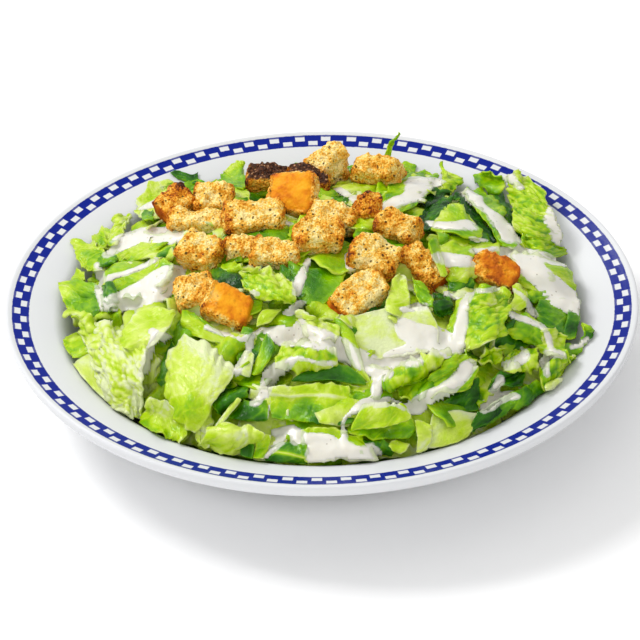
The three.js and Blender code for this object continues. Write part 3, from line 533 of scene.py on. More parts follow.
# ---- node trees ----
class Tree:
    """A short way to add and link the nodes of a material."""

    def __init__(self, name):
        self.material = bpy.data.materials.new(name)
        self.material.use_nodes = True
        self.nodes = self.material.node_tree.nodes
        self.links = self.material.node_tree.links
        self.nodes.clear()

    def add(self, kind, inputs=None, **settings):
        node = self.nodes.new("ShaderNode" + kind)
        for key, value in settings.items():
            setattr(node, key, value)
        for key, value in (inputs or {}).items():
            self.put(node.inputs[key], value)
        return node

    def put(self, socket, value):
        if isinstance(value, bpy.types.NodeSocket):
            self.links.new(value, socket)
        else:
            socket.default_value = value

    def math(self, operation, a, b=0.0, clamp=False):
        return self.add("Math", {0: a, 1: b}, operation=operation, use_clamp=clamp).outputs[0]

    def plus(self, a, b, clamp=False):
        return self.math("ADD", a, b, clamp)

    def minus(self, a, b, clamp=False):
        return self.math("SUBTRACT", a, b, clamp)

    def times(self, a, b):
        return self.math("MULTIPLY", a, b)

    def swing(self, value, amount):
        """How far a value is from a half, times that amount."""
        return self.times(self.minus(value, 0.5), amount)

    def span(self, value, low, high, to_low=0.0, to_high=1.0):
        """A smooth step from one value to the other between two limits."""
        inputs = {"Value": value, "From Min": low, "From Max": high, "To Min": to_low, "To Max": to_high}
        return self.add("MapRange", inputs, interpolation_type="SMOOTHSTEP").outputs["Result"]

    def fade(self, value, low, high):
        """A smooth step from 1 down to 0."""
        return self.span(value, low, high, 1.0, 0.0)

    def mix(self, factor, a, b):
        return self.add("Mix", {0: factor, 6: a, 7: b}, data_type="RGBA").outputs[2]

    def ramp(self, factor, stops):
        node = self.add("ValToRGB", {0: factor})
        elements = node.color_ramp.elements
        while len(elements) < len(stops):
            elements.new(0.5)
        for element, (place, color) in zip(elements, stops):
            element.position = place
            element.color = rgb(*color)
        return node.outputs[0]

    def attribute(self, name, output="Fac"):
        return self.add("Attribute", attribute_name=name).outputs[output]

    def object_place(self):
        return self.add("TexCoord").outputs["Object"]

    def noise(self, place, scale, detail):
        return self.add("TexNoise", {"Vector": place, "Scale": scale, "Detail": detail}).outputs["Fac"]

    def voronoi(self, place, scale, **settings):
        return self.add("TexVoronoi", {"Vector": place, "Scale": scale}, **settings).outputs

    def bump(self, height, strength, distance):
        return self.add("Bump", {"Height": height, "Strength": strength, "Distance": distance}).outputs[0]

    def principled(self, inputs):
        return self.finish(self.add("BsdfPrincipled", inputs))

    def finish(self, shader):
        output = self.add("OutputMaterial")
        self.links.new(shader.outputs[0], output.inputs["Surface"])
        return self.material


def rgb(red, green, blue):
    """A colour given in screen values from 0 to 255, as the linear values that shaders take."""
    def linear(value):
        share = value / 255
        return share / 12.92 if share <= 0.04045 else ((share + 0.055) / 1.055) ** 2.4

    return (linear(red), linear(green), linear(blue), 1.0)


# ---- materials ----
MILK = rgb(232, 231, 216)


def leaf_material():
    drift_share, vein_share, net_share, rim_share = 0.75, 0.13, 0.01, 0.16
    spot_share, milk_span, milk_cover, glow_share = 1.1, (0.45, 0.95), 0.75, 0.24
    net_width, net_height = 0.08, -0.15
    tree = Tree("romaine")
    place = tree.attribute("leaf_place", "Vector")
    drift = tree.noise(place, scale=85.0, detail=3.0)
    fine = tree.noise(place, scale=520.0, detail=2.0)
    net_edges = tree.voronoi(place, scale=480.0, feature="DISTANCE_TO_EDGE")
    net = tree.fade(net_edges["Distance"], 0.0, net_width)
    # the tone attribute holds each leaf's own green together with painted light and shade: lighter blister
    # domes, darker hollows, shaded sides and darker leaves on the right
    shade = tree.plus(tree.attribute("tone"), tree.swing(drift, drift_share))
    shade = tree.minus(shade, tree.times(tree.attribute("vein"), vein_share))
    shade = tree.minus(shade, tree.times(net, net_share))
    shade = tree.minus(shade, tree.times(tree.attribute("rim"), rim_share), clamp=True)
    color = tree.ramp(shade, [
        (0.0, (234, 242, 188)),
        (0.16, (220, 238, 104)),
        (0.34, (190, 222, 14)),
        (0.55, (132, 190, 0)),
        (0.78, (58, 128, 0)),
        (1.0, (16, 70, 0)),
    ])
    glow = tree.ramp(shade, [
        (0.0, (236, 244, 150)),
        (0.4, (206, 236, 4)),
        (0.8, (104, 176, 0)),
        (1.0, (44, 110, 0)),
    ])
    spots = tree.noise(place, scale=330.0, detail=3.0)
    milk = tree.plus(tree.attribute("film"), tree.swing(spots, spot_share))
    milk = tree.times(tree.span(milk, *milk_span), milk_cover)
    height = tree.plus(fine, tree.times(net, net_height))
    bump = tree.bump(height, strength=0.7, distance=0.0007)
    sheen = tree.add("BsdfPrincipled", {
        "Base Color": tree.mix(milk, color, MILK),
        "Roughness": 0.22,
        "Specular IOR Level": 0.30,
        "Normal": bump,
    })
    through = tree.add("BsdfTranslucent", {"Color": tree.mix(milk, glow, MILK), "Normal": bump})
    return tree.finish(tree.add("MixShader", {0: glow_share, 1: sheen.outputs[0], 2: through.outputs[0]}))


def core_material():
    tree = Tree("under_leaves")
    noise = tree.noise(tree.object_place(), scale=80.0, detail=4.0)
    return tree.principled({
        "Base Color": tree.ramp(noise, [(0.3, (62, 112, 6)), (0.7, (116, 164, 26))]),
        "Roughness": 0.5,
        "Normal": tree.bump(noise, strength=0.6, distance=0.002),
    })


def dressing_material():
    pepper_size, pepper_cover = (0.09, 0.13), 0.55
    tree = Tree("dressing")
    place = tree.object_place()
    soft = tree.noise(place, scale=45.0, detail=4.0)
    grain = tree.noise(place, scale=700.0, detail=3.0)
    specks = tree.voronoi(place, scale=260.0)["Distance"]
    cream = tree.ramp(soft, [(0.3, (214, 210, 196)), (0.7, (228, 225, 214))])
    pepper = tree.times(tree.fade(specks, *pepper_size), pepper_cover)
    return tree.principled({
        "Base Color": tree.mix(pepper, cream, rgb(120, 100, 70)),
        "Roughness": 0.30,
        "Subsurface Weight": 0.25,
        "Subsurface Radius": (0.003, 0.0025, 0.0018),
        "Subsurface Scale": 1.0,
        "Coat Weight": 0.25,
        "Coat Roughness": 0.2,
        "Normal": tree.bump(grain, strength=0.18, distance=0.0004),
    })


def crouton_material():
    patch_share, grain_share, rind_middle, rind_share = 1.35, 1.4, 0.4, 0.5
    herb_reach, herb_edge, herb_cover = 0.26, 0.06, 0.85
    rind_smooth, grain_height, pore_height = 0.8, 0.6, 0.8
    tree = Tree("toasted_bread")
    place = tree.object_place()
    toast_and_pit_shade = tree.attribute("toast_and_pit_shade")
    crust = tree.attribute("crust")
    patches = tree.noise(place, scale=210.0, detail=4.0)
    grain = tree.noise(place, scale=1100.0, detail=3.0)
    pores = tree.voronoi(place, scale=800.0)["Distance"]
    herbs = tree.voronoi(place, scale=400.0)
    herb_size = tree.add("SeparateColor", {"Color": herbs["Color"]}).outputs[0]
    seeds = tree.voronoi(place, scale=620.0)["Distance"]
    # the crumb darkens with real toasting, and with painted shade in its pores
    shade = tree.plus(toast_and_pit_shade, tree.swing(patches, patch_share))
    shade = tree.plus(shade, tree.swing(grain, grain_share), clamp=True)
    crumb = tree.ramp(shade, [
        (0.0, (255, 232, 158)),
        (0.22, (252, 208, 98)),
        (0.45, (238, 166, 38)),
        (0.68, (200, 110, 10)),
        (0.86, (130, 60, 4)),
        (1.0, (64, 28, 2)),
    ])
    rind = tree.ramp(tree.plus(patches, tree.times(tree.minus(toast_and_pit_shade, rind_middle), rind_share)), [
        (0.3, (240, 168, 22)),
        (0.5, (228, 142, 4)),
        (0.66, (204, 108, 0)),
        (0.85, (156, 64, 0)),
    ])
    burnt = tree.ramp(seeds, [(0.15, (190, 150, 110)), (0.3, (110, 62, 28)), (0.6, (62, 34, 18))])
    color = tree.mix(tree.attribute("seeded"), tree.mix(crust, crumb, rind), burnt)
    fleck = tree.fade(tree.minus(herbs["Distance"], tree.times(herb_size, herb_reach)), 0.0, herb_edge)
    rough = tree.minus(1.0, tree.times(crust, rind_smooth))
    color = tree.mix(tree.times(tree.times(fleck, herb_cover), rough), color, rgb(64, 46, 12))
    height = tree.times(tree.plus(tree.times(grain, grain_height), tree.times(pores, pore_height)), rough)
    return tree.principled({
        "Base Color": color,
        "Roughness": 0.55,
        "Specular IOR Level": 0.18,
        "Normal": tree.bump(height, strength=0.9, distance=0.0013),
    })


def plate_material():
    """White glaze with two rows of blue blocks between two blue lines."""
    row_edge, wobble_share = 0.02, 0.06
    block_half, block_edge, block_middles = 0.32, 0.015, (0.25, 0.75)
    line_places, line_half, line_cover, upper_side = (0.06, 0.94), (0.07, 0.11), 0.9, (0.036, 0.0375)
    whole_turns = 1000.0
    tree = Tree("glazed_plate")
    place = tree.object_place()
    x, y, z = tree.add("SeparateXYZ", {"Vector": place}).outputs
    radius = tree.math("SQRT", tree.plus(tree.times(x, x), tree.times(y, y)))
    turns = tree.math("DIVIDE", tree.math("ARCTAN2", y, x), 2 * math.pi)
    steps = tree.times(tree.minus(CHECKER_PHASE, turns), float(CHECKER_PERIODS))
    phase = tree.math("FRACT", tree.plus(steps, whole_turns))
    width = (BAND_OUTER_RADIUS - BAND_INNER_RADIUS) * MM
    band = tree.math("DIVIDE", tree.minus(radius, BAND_INNER_RADIUS * MM), width)
    band = tree.plus(band, tree.swing(tree.noise(place, scale=600.0, detail=2.0), wobble_share))
    outer_row = tree.span(band, 0.5 - row_edge, 0.5 + row_edge)
    blocks = []
    for middle, row in zip(block_middles, (outer_row, tree.minus(1.0, outer_row))):
        apart = tree.math("ABSOLUTE", tree.minus(phase, middle))
        apart = tree.math("MINIMUM", apart, tree.minus(1.0, apart))
        blocks.append(tree.times(row, tree.fade(apart, block_half - block_edge, block_half + block_edge)))
    lines = [tree.fade(tree.math("ABSOLUTE", tree.minus(band, line)), *line_half) for line in line_places]
    inside = tree.times(tree.span(band, -row_edge, row_edge), tree.fade(band, 1 - row_edge, 1 + row_edge))
    blue = tree.times(tree.plus(*blocks, clamp=True), inside)
    lined = tree.times(tree.times(tree.plus(*lines), inside), line_cover)
    blue = tree.math("MAXIMUM", blue, lined, clamp=True)
    blue = tree.times(blue, tree.span(z, *upper_side))
    return tree.principled({
        "Base Color": tree.mix(blue, rgb(212, 213, 215), rgb(14, 32, 130)),
        "Roughness": 0.22,
        "Specular IOR Level": 0.07,
    })


def floor_material():
    tree = Tree("studio_floor")
    return tree.principled({"Base Color": rgb(250, 250, 250), "Roughness": 0.9, "Specular IOR Level": 0.1})


# ---- plate ----
def plate_profile():
    """The plate's section, from the middle of its underside round the rim to the middle of the well."""
    return np.concatenate((
        [(radius, UNDERSIDE_Z) for radius in UNDERSIDE_RINGS],
        FOOT,
        bezier(*UNDER_BEND),
        bezier(*SIDE_BEND),
        bezier(*BEAD_BEND),
        RIM_SLOPE,
        WELL[-2::-1],
        [(radius, WELL_FLOOR_Z) for radius in WELL_RINGS],
    ))


def make_plate():
    profile = plate_profile()
    rings = profile[1:-1]
    x, y = ring_places(rings[:, 0], PLATE_SEGMENTS)
    z = np.repeat(rings[:, 1][:, None], PLATE_SEGMENTS, axis=1)
    vertices, triangles = ringed_solid(x, y, z, profile[0, 1], profile[-1, 1], flip=True)
    piece = new_mesh("plate_glazed", vertices, triangles, plate_material())
    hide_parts("plate")
    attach(piece, "root")
    return piece


# ---- leaves ----
def jagged(place, side, length, wander, wander_size, seed):
    """Pointed scallops of about that length, from 0 to 1."""
    return np.abs(np.sin(math.pi * (place / length + wander * value_noise(place / wander_size, side, seed))))


def worn_edge(place, side, ragged, seed):
    """How far a leaf's edge lies inside its outline: scallops with pointed tips, and slow wandering."""
    scallop = jagged(place, side, length=7, wander=0.8, wander_size=9, seed=seed)
    nicks = jagged(place, side, length=2.7, wander=0.6, wander_size=4, seed=seed + 1)
    slow = 0.5 + 0.5 * value_noise(place / PATCH_SIZE, side, seed + 2)
    return ragged * (SCALLOP_DEPTH * scallop * slow + NICK_DEPTH * nicks + EDGE_WANDER * slow)


def drawn_in(across, along, round_off, worn):
    """A place across a leaf, from -1 to 1, moved in where its corners are round and its edge is worn."""
    outset = EDGE_OUTSET * across * (1 - round_off * along * along)
    return outset * (1 - np.minimum(worn, DEEPEST_NICK) * np.abs(across) ** 3)


def leaf_wave(angles, s, t, seed):
    """A wave over a leaf, from -1 to 1, that is different for each leaf."""
    along, across, between = angles
    return np.sin(along * s + across * t + between * seed)


def leaf_surface(corners, bulge, ruffle, seed, s, t):
    """Points of a leaf's mean surface for s along it and t across it, each from -1 to 1."""
    weights = ((1 - s) * (1 - t) / 4, (1 + s) * (1 - t) / 4, (1 + s) * (1 + t) / 4, (1 - s) * (1 + t) / 4)
    x, y, lift = (sum(w * corner[k] for w, corner in zip(weights, corners)) for k in range(3))
    lift = lift + bulge * (1 - 0.5 * (s * s + t * t))
    lift = lift + ruffle * (RUFFLE_MIDDLE + t * t) * leaf_wave(RUFFLE_WAVE, s, t, seed)
    lift = lift + CURL * ruffle * leaf_wave(CURL_WAVE, s, t, seed)
    return np.stack((x, y - VIEW_LEAN * (lift - VIEW_LIFT), heap_top(x, y) + lift), axis=-1)


def leaf_mesh(seed, spacing, corners, bulge, ruffle, first_tone, last_tone, kind):
    """A closed thin leaf with puffed cells, veins, frills and ragged edges, and the looks of its points."""
    blister, quilt, ragged, frill, stray, round_off, veining, rib_width, rib_place = KINDS[kind]
    spots = np.array(corners, float)[:, :2]
    half_length = np.linalg.norm(spots[1] + spots[2] - spots[0] - spots[3]) / 4
    half_width = np.linalg.norm(spots[2] + spots[3] - spots[0] - spots[1]) / 4
    rows, columns = (max(FEWEST_POINTS, int(2 * half / spacing)) for half in (half_length, half_width))
    grid_s, grid_t = np.meshgrid(np.linspace(-1, 1, rows), np.linspace(-1, 1, columns), indexing="ij")
    side_in = worn_edge(half_length * grid_s, np.sign(grid_t) * SIDE_ROW, ragged, seed)
    end_in = worn_edge(half_width * grid_t, np.sign(grid_s) * END_ROW, ragged * END_RAGGED, seed + 9)
    t = drawn_in(grid_t, grid_s, round_off, side_in / half_width)
    s = drawn_in(grid_s, t, round_off, end_in / half_length)
    u, v = half_length * s, half_width * t
    middle = leaf_surface(corners, bulge, ruffle, seed, s, t)
    for axis in (0, 1):
        middle[..., axis] += stray * value_noise(u / STRAY_SIZE + 5 * axis, v / STRAY_SIZE, seed + 15)
    middle[..., 2] += SWELL * stray * value_noise(u / SWELL_SIZE, v / SWELL_SIZE + 3, seed + 17)
    normal = np.cross(np.gradient(middle, axis=0), np.gradient(middle, axis=1))
    normal = normal / np.maximum(np.linalg.norm(normal, axis=-1, keepdims=True), 1e-9)
    # wide quilting between the veins, and round blisters on it
    warp_u = u + WARP * value_noise(u / WARP_SIZE, v / WARP_SIZE, seed + 1)
    warp_v = v + WARP * value_noise(u / WARP_SIZE + 7, v / WARP_SIZE, seed + 2)
    first, second = cells(warp_u / QUILT_CELL[0], warp_v / QUILT_CELL[1], seed)
    pillow = np.sqrt(np.clip((second - first) * PILLOW_STEEPNESS, 0, 1))
    fine_first, fine_second = cells(warp_u / BLISTER_CELL[0], warp_v / BLISTER_CELL[1], seed + 3)
    dome = np.clip(1 - (fine_first / BLISTER_REACH) ** 2, 0, 1)
    patchy = PATCH_MEAN + PATCH_SWING * value_noise(u / PATCH_SIZE, v / PATCH_SIZE, seed + 4)
    rib = np.zeros_like(s)
    if rib_width:
        half_rib = rib_width * (RIB_TAPER[0] - RIB_TAPER[1] * s) / 2
        rib = np.exp(-(((v - rib_place * half_width) / half_rib) ** 4))
    lamina = 1 - rib
    # side veins, slanting away from the rib
    wander = VEIN_WANDER * value_noise(u / VEIN_WANDER_SIZE, v / VEIN_WANDER_SIZE, seed + 19)
    stripe = (u + VEIN_SLANT * np.abs(v - rib_place * half_width) + wander) / VEIN_SPACING
    branch = 1 - smooth(0.0, VEIN_WIDTH, np.abs(stripe - np.floor(stripe) - 0.5))
    branch = branch * lamina * veining
    relief = lamina * (quilt * patchy * pillow + blister * dome) * (1 - VEIN_DEPTH * branch)
    sway = FRILL_WANDER * value_noise(u / FRILL_WANDER_SIZE, np.sign(t) * 2, seed + 12)
    waves = frill * np.abs(t) ** 3 * np.sin(2 * math.pi * (u / FRILL_LENGTH + sway))
    end_waves = END_FRILL_SHARE * frill * np.abs(s) ** 3 * np.sin(2 * math.pi * v / END_FRILL_LENGTH + seed)
    waves = waves + end_waves
    upper = middle + normal * (waves + LEAF_THICKNESS / 2 + relief + RIB_HEIGHT * rib)[..., None]
    under = RELIEF_UNDER * relief - RIB_UNDER * rib
    lower = middle + normal * (waves - LEAF_THICKNESS / 2 + under)[..., None]
    placed = []
    for points, extra in ((upper, LEAF_THICKNESS), (lower, 0)):
        points = points.reshape(-1, 3)
        floor = plate_top(np.hypot(points[:, 0], points[:, 1])) + LEAF_CLEARANCE + extra
        points[:, 2] = np.maximum(points[:, 2], floor)
        placed.append(points)
    vertices, quads = closed_sheet(placed[0], placed[1], rows, columns)
    crease = lamina * (1 - smooth(0.0, CREASE_WIDTH, second - first))
    fine_crease = FINE_CREASE * lamina * (1 - smooth(0.0, CREASE_WIDTH, fine_second - fine_first))
    fine_crease = fine_crease * min(1.0, FINE_CLEAR * blister)
    vein = np.maximum(crease * min(1.0, CREASE_LEAST + quilt), fine_crease)
    vein = np.maximum(CREASE_CLEAR * vein, BRANCH_CLEAR * branch)
    # the tone runs across the leaf from its first to its last side, with painted shade where a side lies in
    # shade
    tone = first_tone + (last_tone - first_tone) * (0.5 + 0.5 * t)
    drift = value_noise(u / TONE_DRIFT_SIZE, v / TONE_DRIFT_SIZE, seed + 6)
    tone = tone * (1 - RIB_PALE * rib) + TONE_DRIFT * lamina * drift
    # painted highlight on the blister domes, and painted shade in the hollows between them
    tone = tone - BLISTER_PAINTED_LIGHT * blister * lamina * (dome - DOME_MIDDLE)
    from_edge = np.minimum(half_length * (1 - np.abs(grid_s)), half_width * (1 - np.abs(grid_t)))
    rim = 1 - smooth(*RIM_WIDTH, from_edge)
    # each leaf has its own stretch of the material's noise
    place = np.stack((u.ravel() + LEAF_APART * seed, v.ravel(), np.zeros(u.size)), axis=-1) * MM
    looks = {"leaf_place": np.tile(place, (2, 1))}
    for key, values in (("tone", tone), ("vein", vein), ("rim", rim)):
        looks[key] = np.tile(values.ravel(), 2)
    return vertices, quads, looks


# ---- dressing: strokes from pixel to pixel as they are seen, with half width and thickness ----
DRESSING = [
    # left side
    ((132, 236), (172, 236), 10, 1.6), ((150, 206), (172, 196), 8, 1.6), ((118, 304), (165, 276), 9, 1.6),
    ((108, 279), (150, 262), 4.5, 1.2), ((126, 302), (150, 296), 9, 1.6),
    ((112, 252), (130, 246), 4, 1.2), ((98, 262), (104, 280), 3, 0.9), ((100, 285), (102, 313), 2.2, 0.9),
    ((152, 336), (147, 372), 3, 1.2), ((150, 334), (163, 341), 3, 1.2), ((188, 262), (176, 290), 4, 1.2),
    # middle and lower left
    ((206, 328), (240, 340), 2.2, 1.2), ((240, 342), (260, 331), 3.5, 1.4),
    ((246, 344), (244, 374), 2.5, 1.3), ((250, 293), (251, 295), 2.6, 1.6),
    ((278, 332), (318, 334), 8, 1.7), ((262, 388), (286, 362), 4, 1.5), ((252, 400), (262, 388), 3, 1.4),
    ((290, 358), (332, 360), 2.2, 0.9), ((300, 322), (342, 347), 5.5, 1.4),
    ((345, 350), (380, 373), 6, 1.5), ((376, 374), (378, 396), 2.6, 1.4),
    ((304, 300), (284, 310), 3, 1.2), ((352, 258), (356, 274), 3.5, 1.3),
    ((304, 262), (300, 290), 2.5, 1.2), ((284, 222), (292, 226), 3, 1.2),
    ((345, 190), (364, 202), 4, 1.3),
    # front
    ((412, 330), (432, 338), 10.5, 1.7), ((388, 362), (410, 352), 4.5, 1.5),
    ((400, 310), (424, 308), 2, 0.8), ((463, 360), (440, 386), 4.4, 2.2),
    ((440, 386), (414, 407), 4.4, 2.2), ((344, 437), (352, 412), 1.6, 1.2),
    ((352, 412), (366, 403), 1.8, 1.2), ((366, 403), (388, 400), 1.8, 1.2),
    ((388, 400), (403, 405), 1.4, 1), ((318, 451), (374, 456), 6.5, 1.6),
    ((300, 431), (332, 437), 3.5, 1.4), ((345, 441), (370, 446), 3.5, 1.4),
    ((274, 432), (300, 427), 2.2, 1.2), ((262, 457), (286, 434), 1.8, 1.2),
    ((268, 388), (268, 418), 1, 0.8),
    # right
    ((470, 292), (453, 345), 2.6, 1.2), ((476, 287), (496, 288), 2.4, 1.2),
    ((512, 290), (530, 302), 2.6, 1.3), ((530, 302), (534, 316), 2.6, 1.2),
    ((514, 314), (540, 330), 3, 1.3), ((540, 330), (546, 350), 2.8, 1.2),
    ((500, 362), (524, 353), 2.8, 1.2), ((544, 353), (560, 353), 3.2, 1.2),
    ((543, 360), (546, 372), 2.6, 1.2), ((494, 374), (488, 392), 2.4, 1.2),
    ((484, 404), (512, 393), 3.2, 1.4), ((446, 291), (458, 296), 2.2, 0.9),
    ((572, 346), (584, 336), 2.4, 0.9),
    # back right
    ((378, 209), (412, 200), 8, 1.7), ((412, 196), (428, 180), 7, 1.6),
    ((464, 190), (480, 206), 5.5, 1.4), ((480, 206), (500, 230), 6, 1.4),
    ((500, 230), (512, 244), 5.5, 1.4), ((436, 226), (468, 226), 6.5, 1.3),
    ((464, 238), (482, 241), 2.5, 1), ((446, 258), (468, 263), 8, 1.6),
    ((476, 251), (498, 252), 3.5, 0.9), ((522, 264), (566, 300), 12, 1.1), ((530, 256), (556, 262), 6, 1),
    ((505, 176), (512, 192), 3, 1.1), ((552, 205), (557, 242), 5.5, 1.3),
]
STROKES = [(heap_place(*start), heap_place(*end), half, thick) for start, end, half, thick in DRESSING]
DRESSING_REACH = 0.86
DRESSING_WANDER, DRESSING_WANDER_SIZE = 3.4, 14
DRESSING_WAVER, DRESSING_WAVER_SIZE = 0.6, 5
FARTHEST_DEPTH, DRY_DEPTH = -2.5, -1.0
# the drape is a height field seen from this many degrees up, over a disc of this radius round this height
DRESSING_TILT = math.radians(52)
DRAPE_RADIUS = 126.0
DRAPE_MIDDLE = (0, 0, 45.0)
DRAPE_START, DRAPE_SEARCH = 90.0, 200
BRIDGE_STEPS, SOFTEN_STEPS = 9, 4
BRIDGE_LOWER, BRIDGE_UPPER = 1.5, 3.5
LUMP_SIZES, FINE_LUMPS, LUMP_SHARE = (5, 2.2), 0.5, 0.3
FULL_DEPTH, FULLEST = 1.6, 1.5
BODY_HEIGHT, EDGE_FALL, SINK = 1.2, 4.0, 0.35
SHEET_EDGE, SKIRT = -0.3, 1.2


def placed_leaves():
    """Every leaf that is placed one by one: its corners on the heap, and then as in its row."""
    for *spots, lifts, bulge, ruffle, first_tone, last_tone, kind in LEAVES:
        corners = [(*heap_place(*spot), lift) for spot, lift in zip(spots, lifts)]
        yield corners, bulge, ruffle, first_tone, last_tone, kind
    for *corners, bulge, ruffle, first_tone, last_tone, kind in HIDDEN_LEAVES:
        yield corners, bulge, ruffle, first_tone, last_tone, kind


def seen_place(points):
    """Where a viewer at the front sees points against the heap's mean surface."""
    x, y = points[..., 0], points[..., 1].copy()
    for _ in range(SEEN_STEPS):
        y = points[..., 1] + VIEW_LEAN * (points[..., 2] - heap_top(x, y) - VIEW_LIFT)
    return x, y


def strayed(value, x, y, shift, seed):
    """An x or y moved by wide bends, and by small ones on them."""
    bends = value_noise(x / DRESSING_WANDER_SIZE + shift, y / DRESSING_WANDER_SIZE, seed)
    waver = value_noise(x / DRESSING_WAVER_SIZE + shift, y / DRESSING_WAVER_SIZE, seed + 1)
    return value + DRESSING_WANDER * bends + DRESSING_WAVER * waver


def stroke_mask(x, y):
    """How thick the dressing is at places on the heap, in millimetres. Outside it falls below 0."""
    wander_x, wander_y = strayed(x, x, y, shift=0, seed=21), strayed(y, x, y, shift=9, seed=23)
    depth = np.full(np.shape(x), FARTHEST_DEPTH)
    for (x0, y0), (x1, y1), half, thick in STROKES:
        dx, dy = x1 - x0, y1 - y0
        along = np.clip(((wander_x - x0) * dx + (wander_y - y0) * dy) / (dx * dx + dy * dy), 0, 1)
        away = np.hypot(wander_x - x0 - along * dx, wander_y - y0 - along * dy) / (DRESSING_REACH * half)
        depth = np.maximum(depth, thick * (1 - away ** 2))
    return depth


def make_leaves(material):
    pile_front, pile_back = Pile(), Pile()
    for seed, row in enumerate(placed_leaves(), start=1):
        vertices, quads, named = leaf_mesh(seed, LEAF_GRID, *row)
        film = smooth(*FILM_DEPTH, stroke_mask(*seen_place(vertices)))
        # painted shade, darkening the leaves toward the right
        named["tone"] = named["tone"] + RIGHT_PAINTED_SHADE * smooth(*RIGHT_SHADE_SPAN, vertices[:, 0])
        first_corner = row[0][0]
        pile = pile_front if first_corner[1] < FRONT_Y else pile_back
        pile.add(vertices, quads, film=film, **named)
    pieces = []
    for name, pile in (("romaine_front", pile_front), ("romaine_back", pile_back)):
        piece = pile.piece(name, material)
        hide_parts("salad")
        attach(piece, "root")
        pieces.append(piece)
    return pieces


def filler_leaf(rng):
    """A leaf piece lying anywhere in the heap, turned and tilted at random."""
    radius = FILLER_REACH * math.sqrt(rng.uniform(0.0, 1.0))
    angle = rng.uniform(0, 2 * math.pi)
    middle = np.array((radius * math.cos(angle), radius * math.sin(angle)))
    turn = rng.uniform(0, 2 * math.pi)
    along = np.array((math.cos(turn), math.sin(turn))) * rng.uniform(*FILLER_HALF_LENGTH)
    across = np.array((-math.sin(turn), math.cos(turn))) * rng.uniform(*FILLER_HALF_WIDTH)
    tilt_along, tilt_across = rng.uniform(*FILLER_TILT), rng.uniform(*FILLER_TILT)
    lift = rng.uniform(*FILLER_LIFT)
    corners = [
        (*(middle + a * along + b * across), lift + a * tilt_along + b * tilt_across)
        for a, b in ((-1, -1), (1, -1), (1, 1), (-1, 1))
    ]
    tone = rng.uniform(*FILLER_TONE)
    kind = FILLER_KINDS[rng.integers(len(FILLER_KINDS))]
    bulge, ruffle = rng.uniform(*FILLER_BULGE), rng.uniform(*FILLER_RUFFLE)
    return corners, bulge, ruffle, tone, tone + rng.uniform(*FILLER_TONE_STEP), kind


def ring_leaf(rng, number):
    """A leaf piece in the ring round the heap's foot, sloping down outward."""
    angle = 2 * math.pi * (number + rng.uniform(*RING_STRAY)) / RING_COUNT
    outward = np.array((math.cos(angle), math.sin(angle)))
    tangent = np.array((-outward[1], outward[0]))
    middle = outward * rng.uniform(*RING_RADIUS)
    along = tangent * rng.uniform(*RING_HALF_LENGTH)
    across = outward * rng.uniform(*RING_HALF_WIDTH)
    lift = rng.uniform(*RING_LIFT)
    corners = []
    for a, b in ((-1, 1), (-1, -1), (1, -1), (1, 1)):
        x, y = middle + a * along + b * across
        corner_lift = lift - b * rng.uniform(*RING_SLOPE)
        # the lean toward the viewer is taken back, so that the ring stays round
        corners.append((x, y + VIEW_LEAN * (corner_lift - VIEW_LIFT), corner_lift))
    tone = rng.uniform(*RING_TONE)
    bulge, ruffle = rng.uniform(*RING_BULGE), rng.uniform(*RING_RUFFLE)
    return corners, bulge, ruffle, tone, tone, "creased"


def make_fillers(material):
    """Smaller leaf pieces deeper in the heap and round its foot, which show between the others."""
    pile = Pile()
    rng = np.random.default_rng(FILLER_SEED)
    for number in range(FILLER_COUNT):
        vertices, quads, named = leaf_mesh(FILLER_FIRST_SEED + number, UNDER_GRID, *filler_leaf(rng))
        film = smooth(*FILLER_FILM_DEPTH, stroke_mask(*seen_place(vertices)))
        pile.add(vertices, quads, film=film, **named)
    for number in range(RING_COUNT):
        vertices, quads, named = leaf_mesh(RING_FIRST_SEED + number, UNDER_GRID, *ring_leaf(rng, number))
        pile.add(vertices, quads, film=np.zeros(len(vertices)), **named)
    piece = pile.piece("romaine_under", material)
    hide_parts("salad")
    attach(piece, "root")
    return piece


def make_core():
    """The solid heart of the heap, under the leaves."""
    upper = np.linspace(CORE_RADIUS / CORE_RINGS, CORE_RADIUS, CORE_RINGS)
    x, y = ring_places(np.concatenate((upper, CORE_UNDER_RINGS)), CORE_SEGMENTS)
    lumps = CORE_LUMPS * value_noise(x / CORE_LUMP_SIZE, y / CORE_LUMP_SIZE, seed=3)
    top = heap_top(x, y) - CORE_DEPTH + lumps
    under = plate_top(np.hypot(x, y)) + CORE_CLEARANCE
    z = np.where(np.arange(len(x))[:, None] < CORE_RINGS, top, under)
    vertices, triangles = ringed_solid(x, y, z, HEAP_TOP_Z - CORE_DEPTH, WELL_FLOOR_Z + CORE_CLEARANCE)
    piece = new_mesh("salad_heart", vertices, triangles, core_material())
    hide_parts("salad")
    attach(piece, "root")
    return piece


# ---- dressing ----
def spread(field, times):
    """Smooths a grid of values by averaging each with its neighbours."""
    for _ in range(times):
        padded = np.pad(field, 1, mode="edge")
        field = (
            4 * padded[1:-1, 1:-1]
            + 2 * (padded[:-2, 1:-1] + padded[2:, 1:-1] + padded[1:-1, :-2] + padded[1:-1, 2:])
            + padded[:-2, :-2] + padded[:-2, 2:] + padded[2:, :-2] + padded[2:, 2:]
        ) / 16
    return field


def surface_tree(carriers):
    """All faces of some pieces, in millimetres, to cast rays at."""
    points, polygons = [], []
    for piece in carriers:
        count = len(points)
        points.extend(Vector(p) for p in read_vertices(piece.data).astype(float) / MM)
        polygons.extend(tuple(v + count for v in p.vertices) for p in piece.data.polygons)
    return BVHTree.FromPolygons(points, polygons)


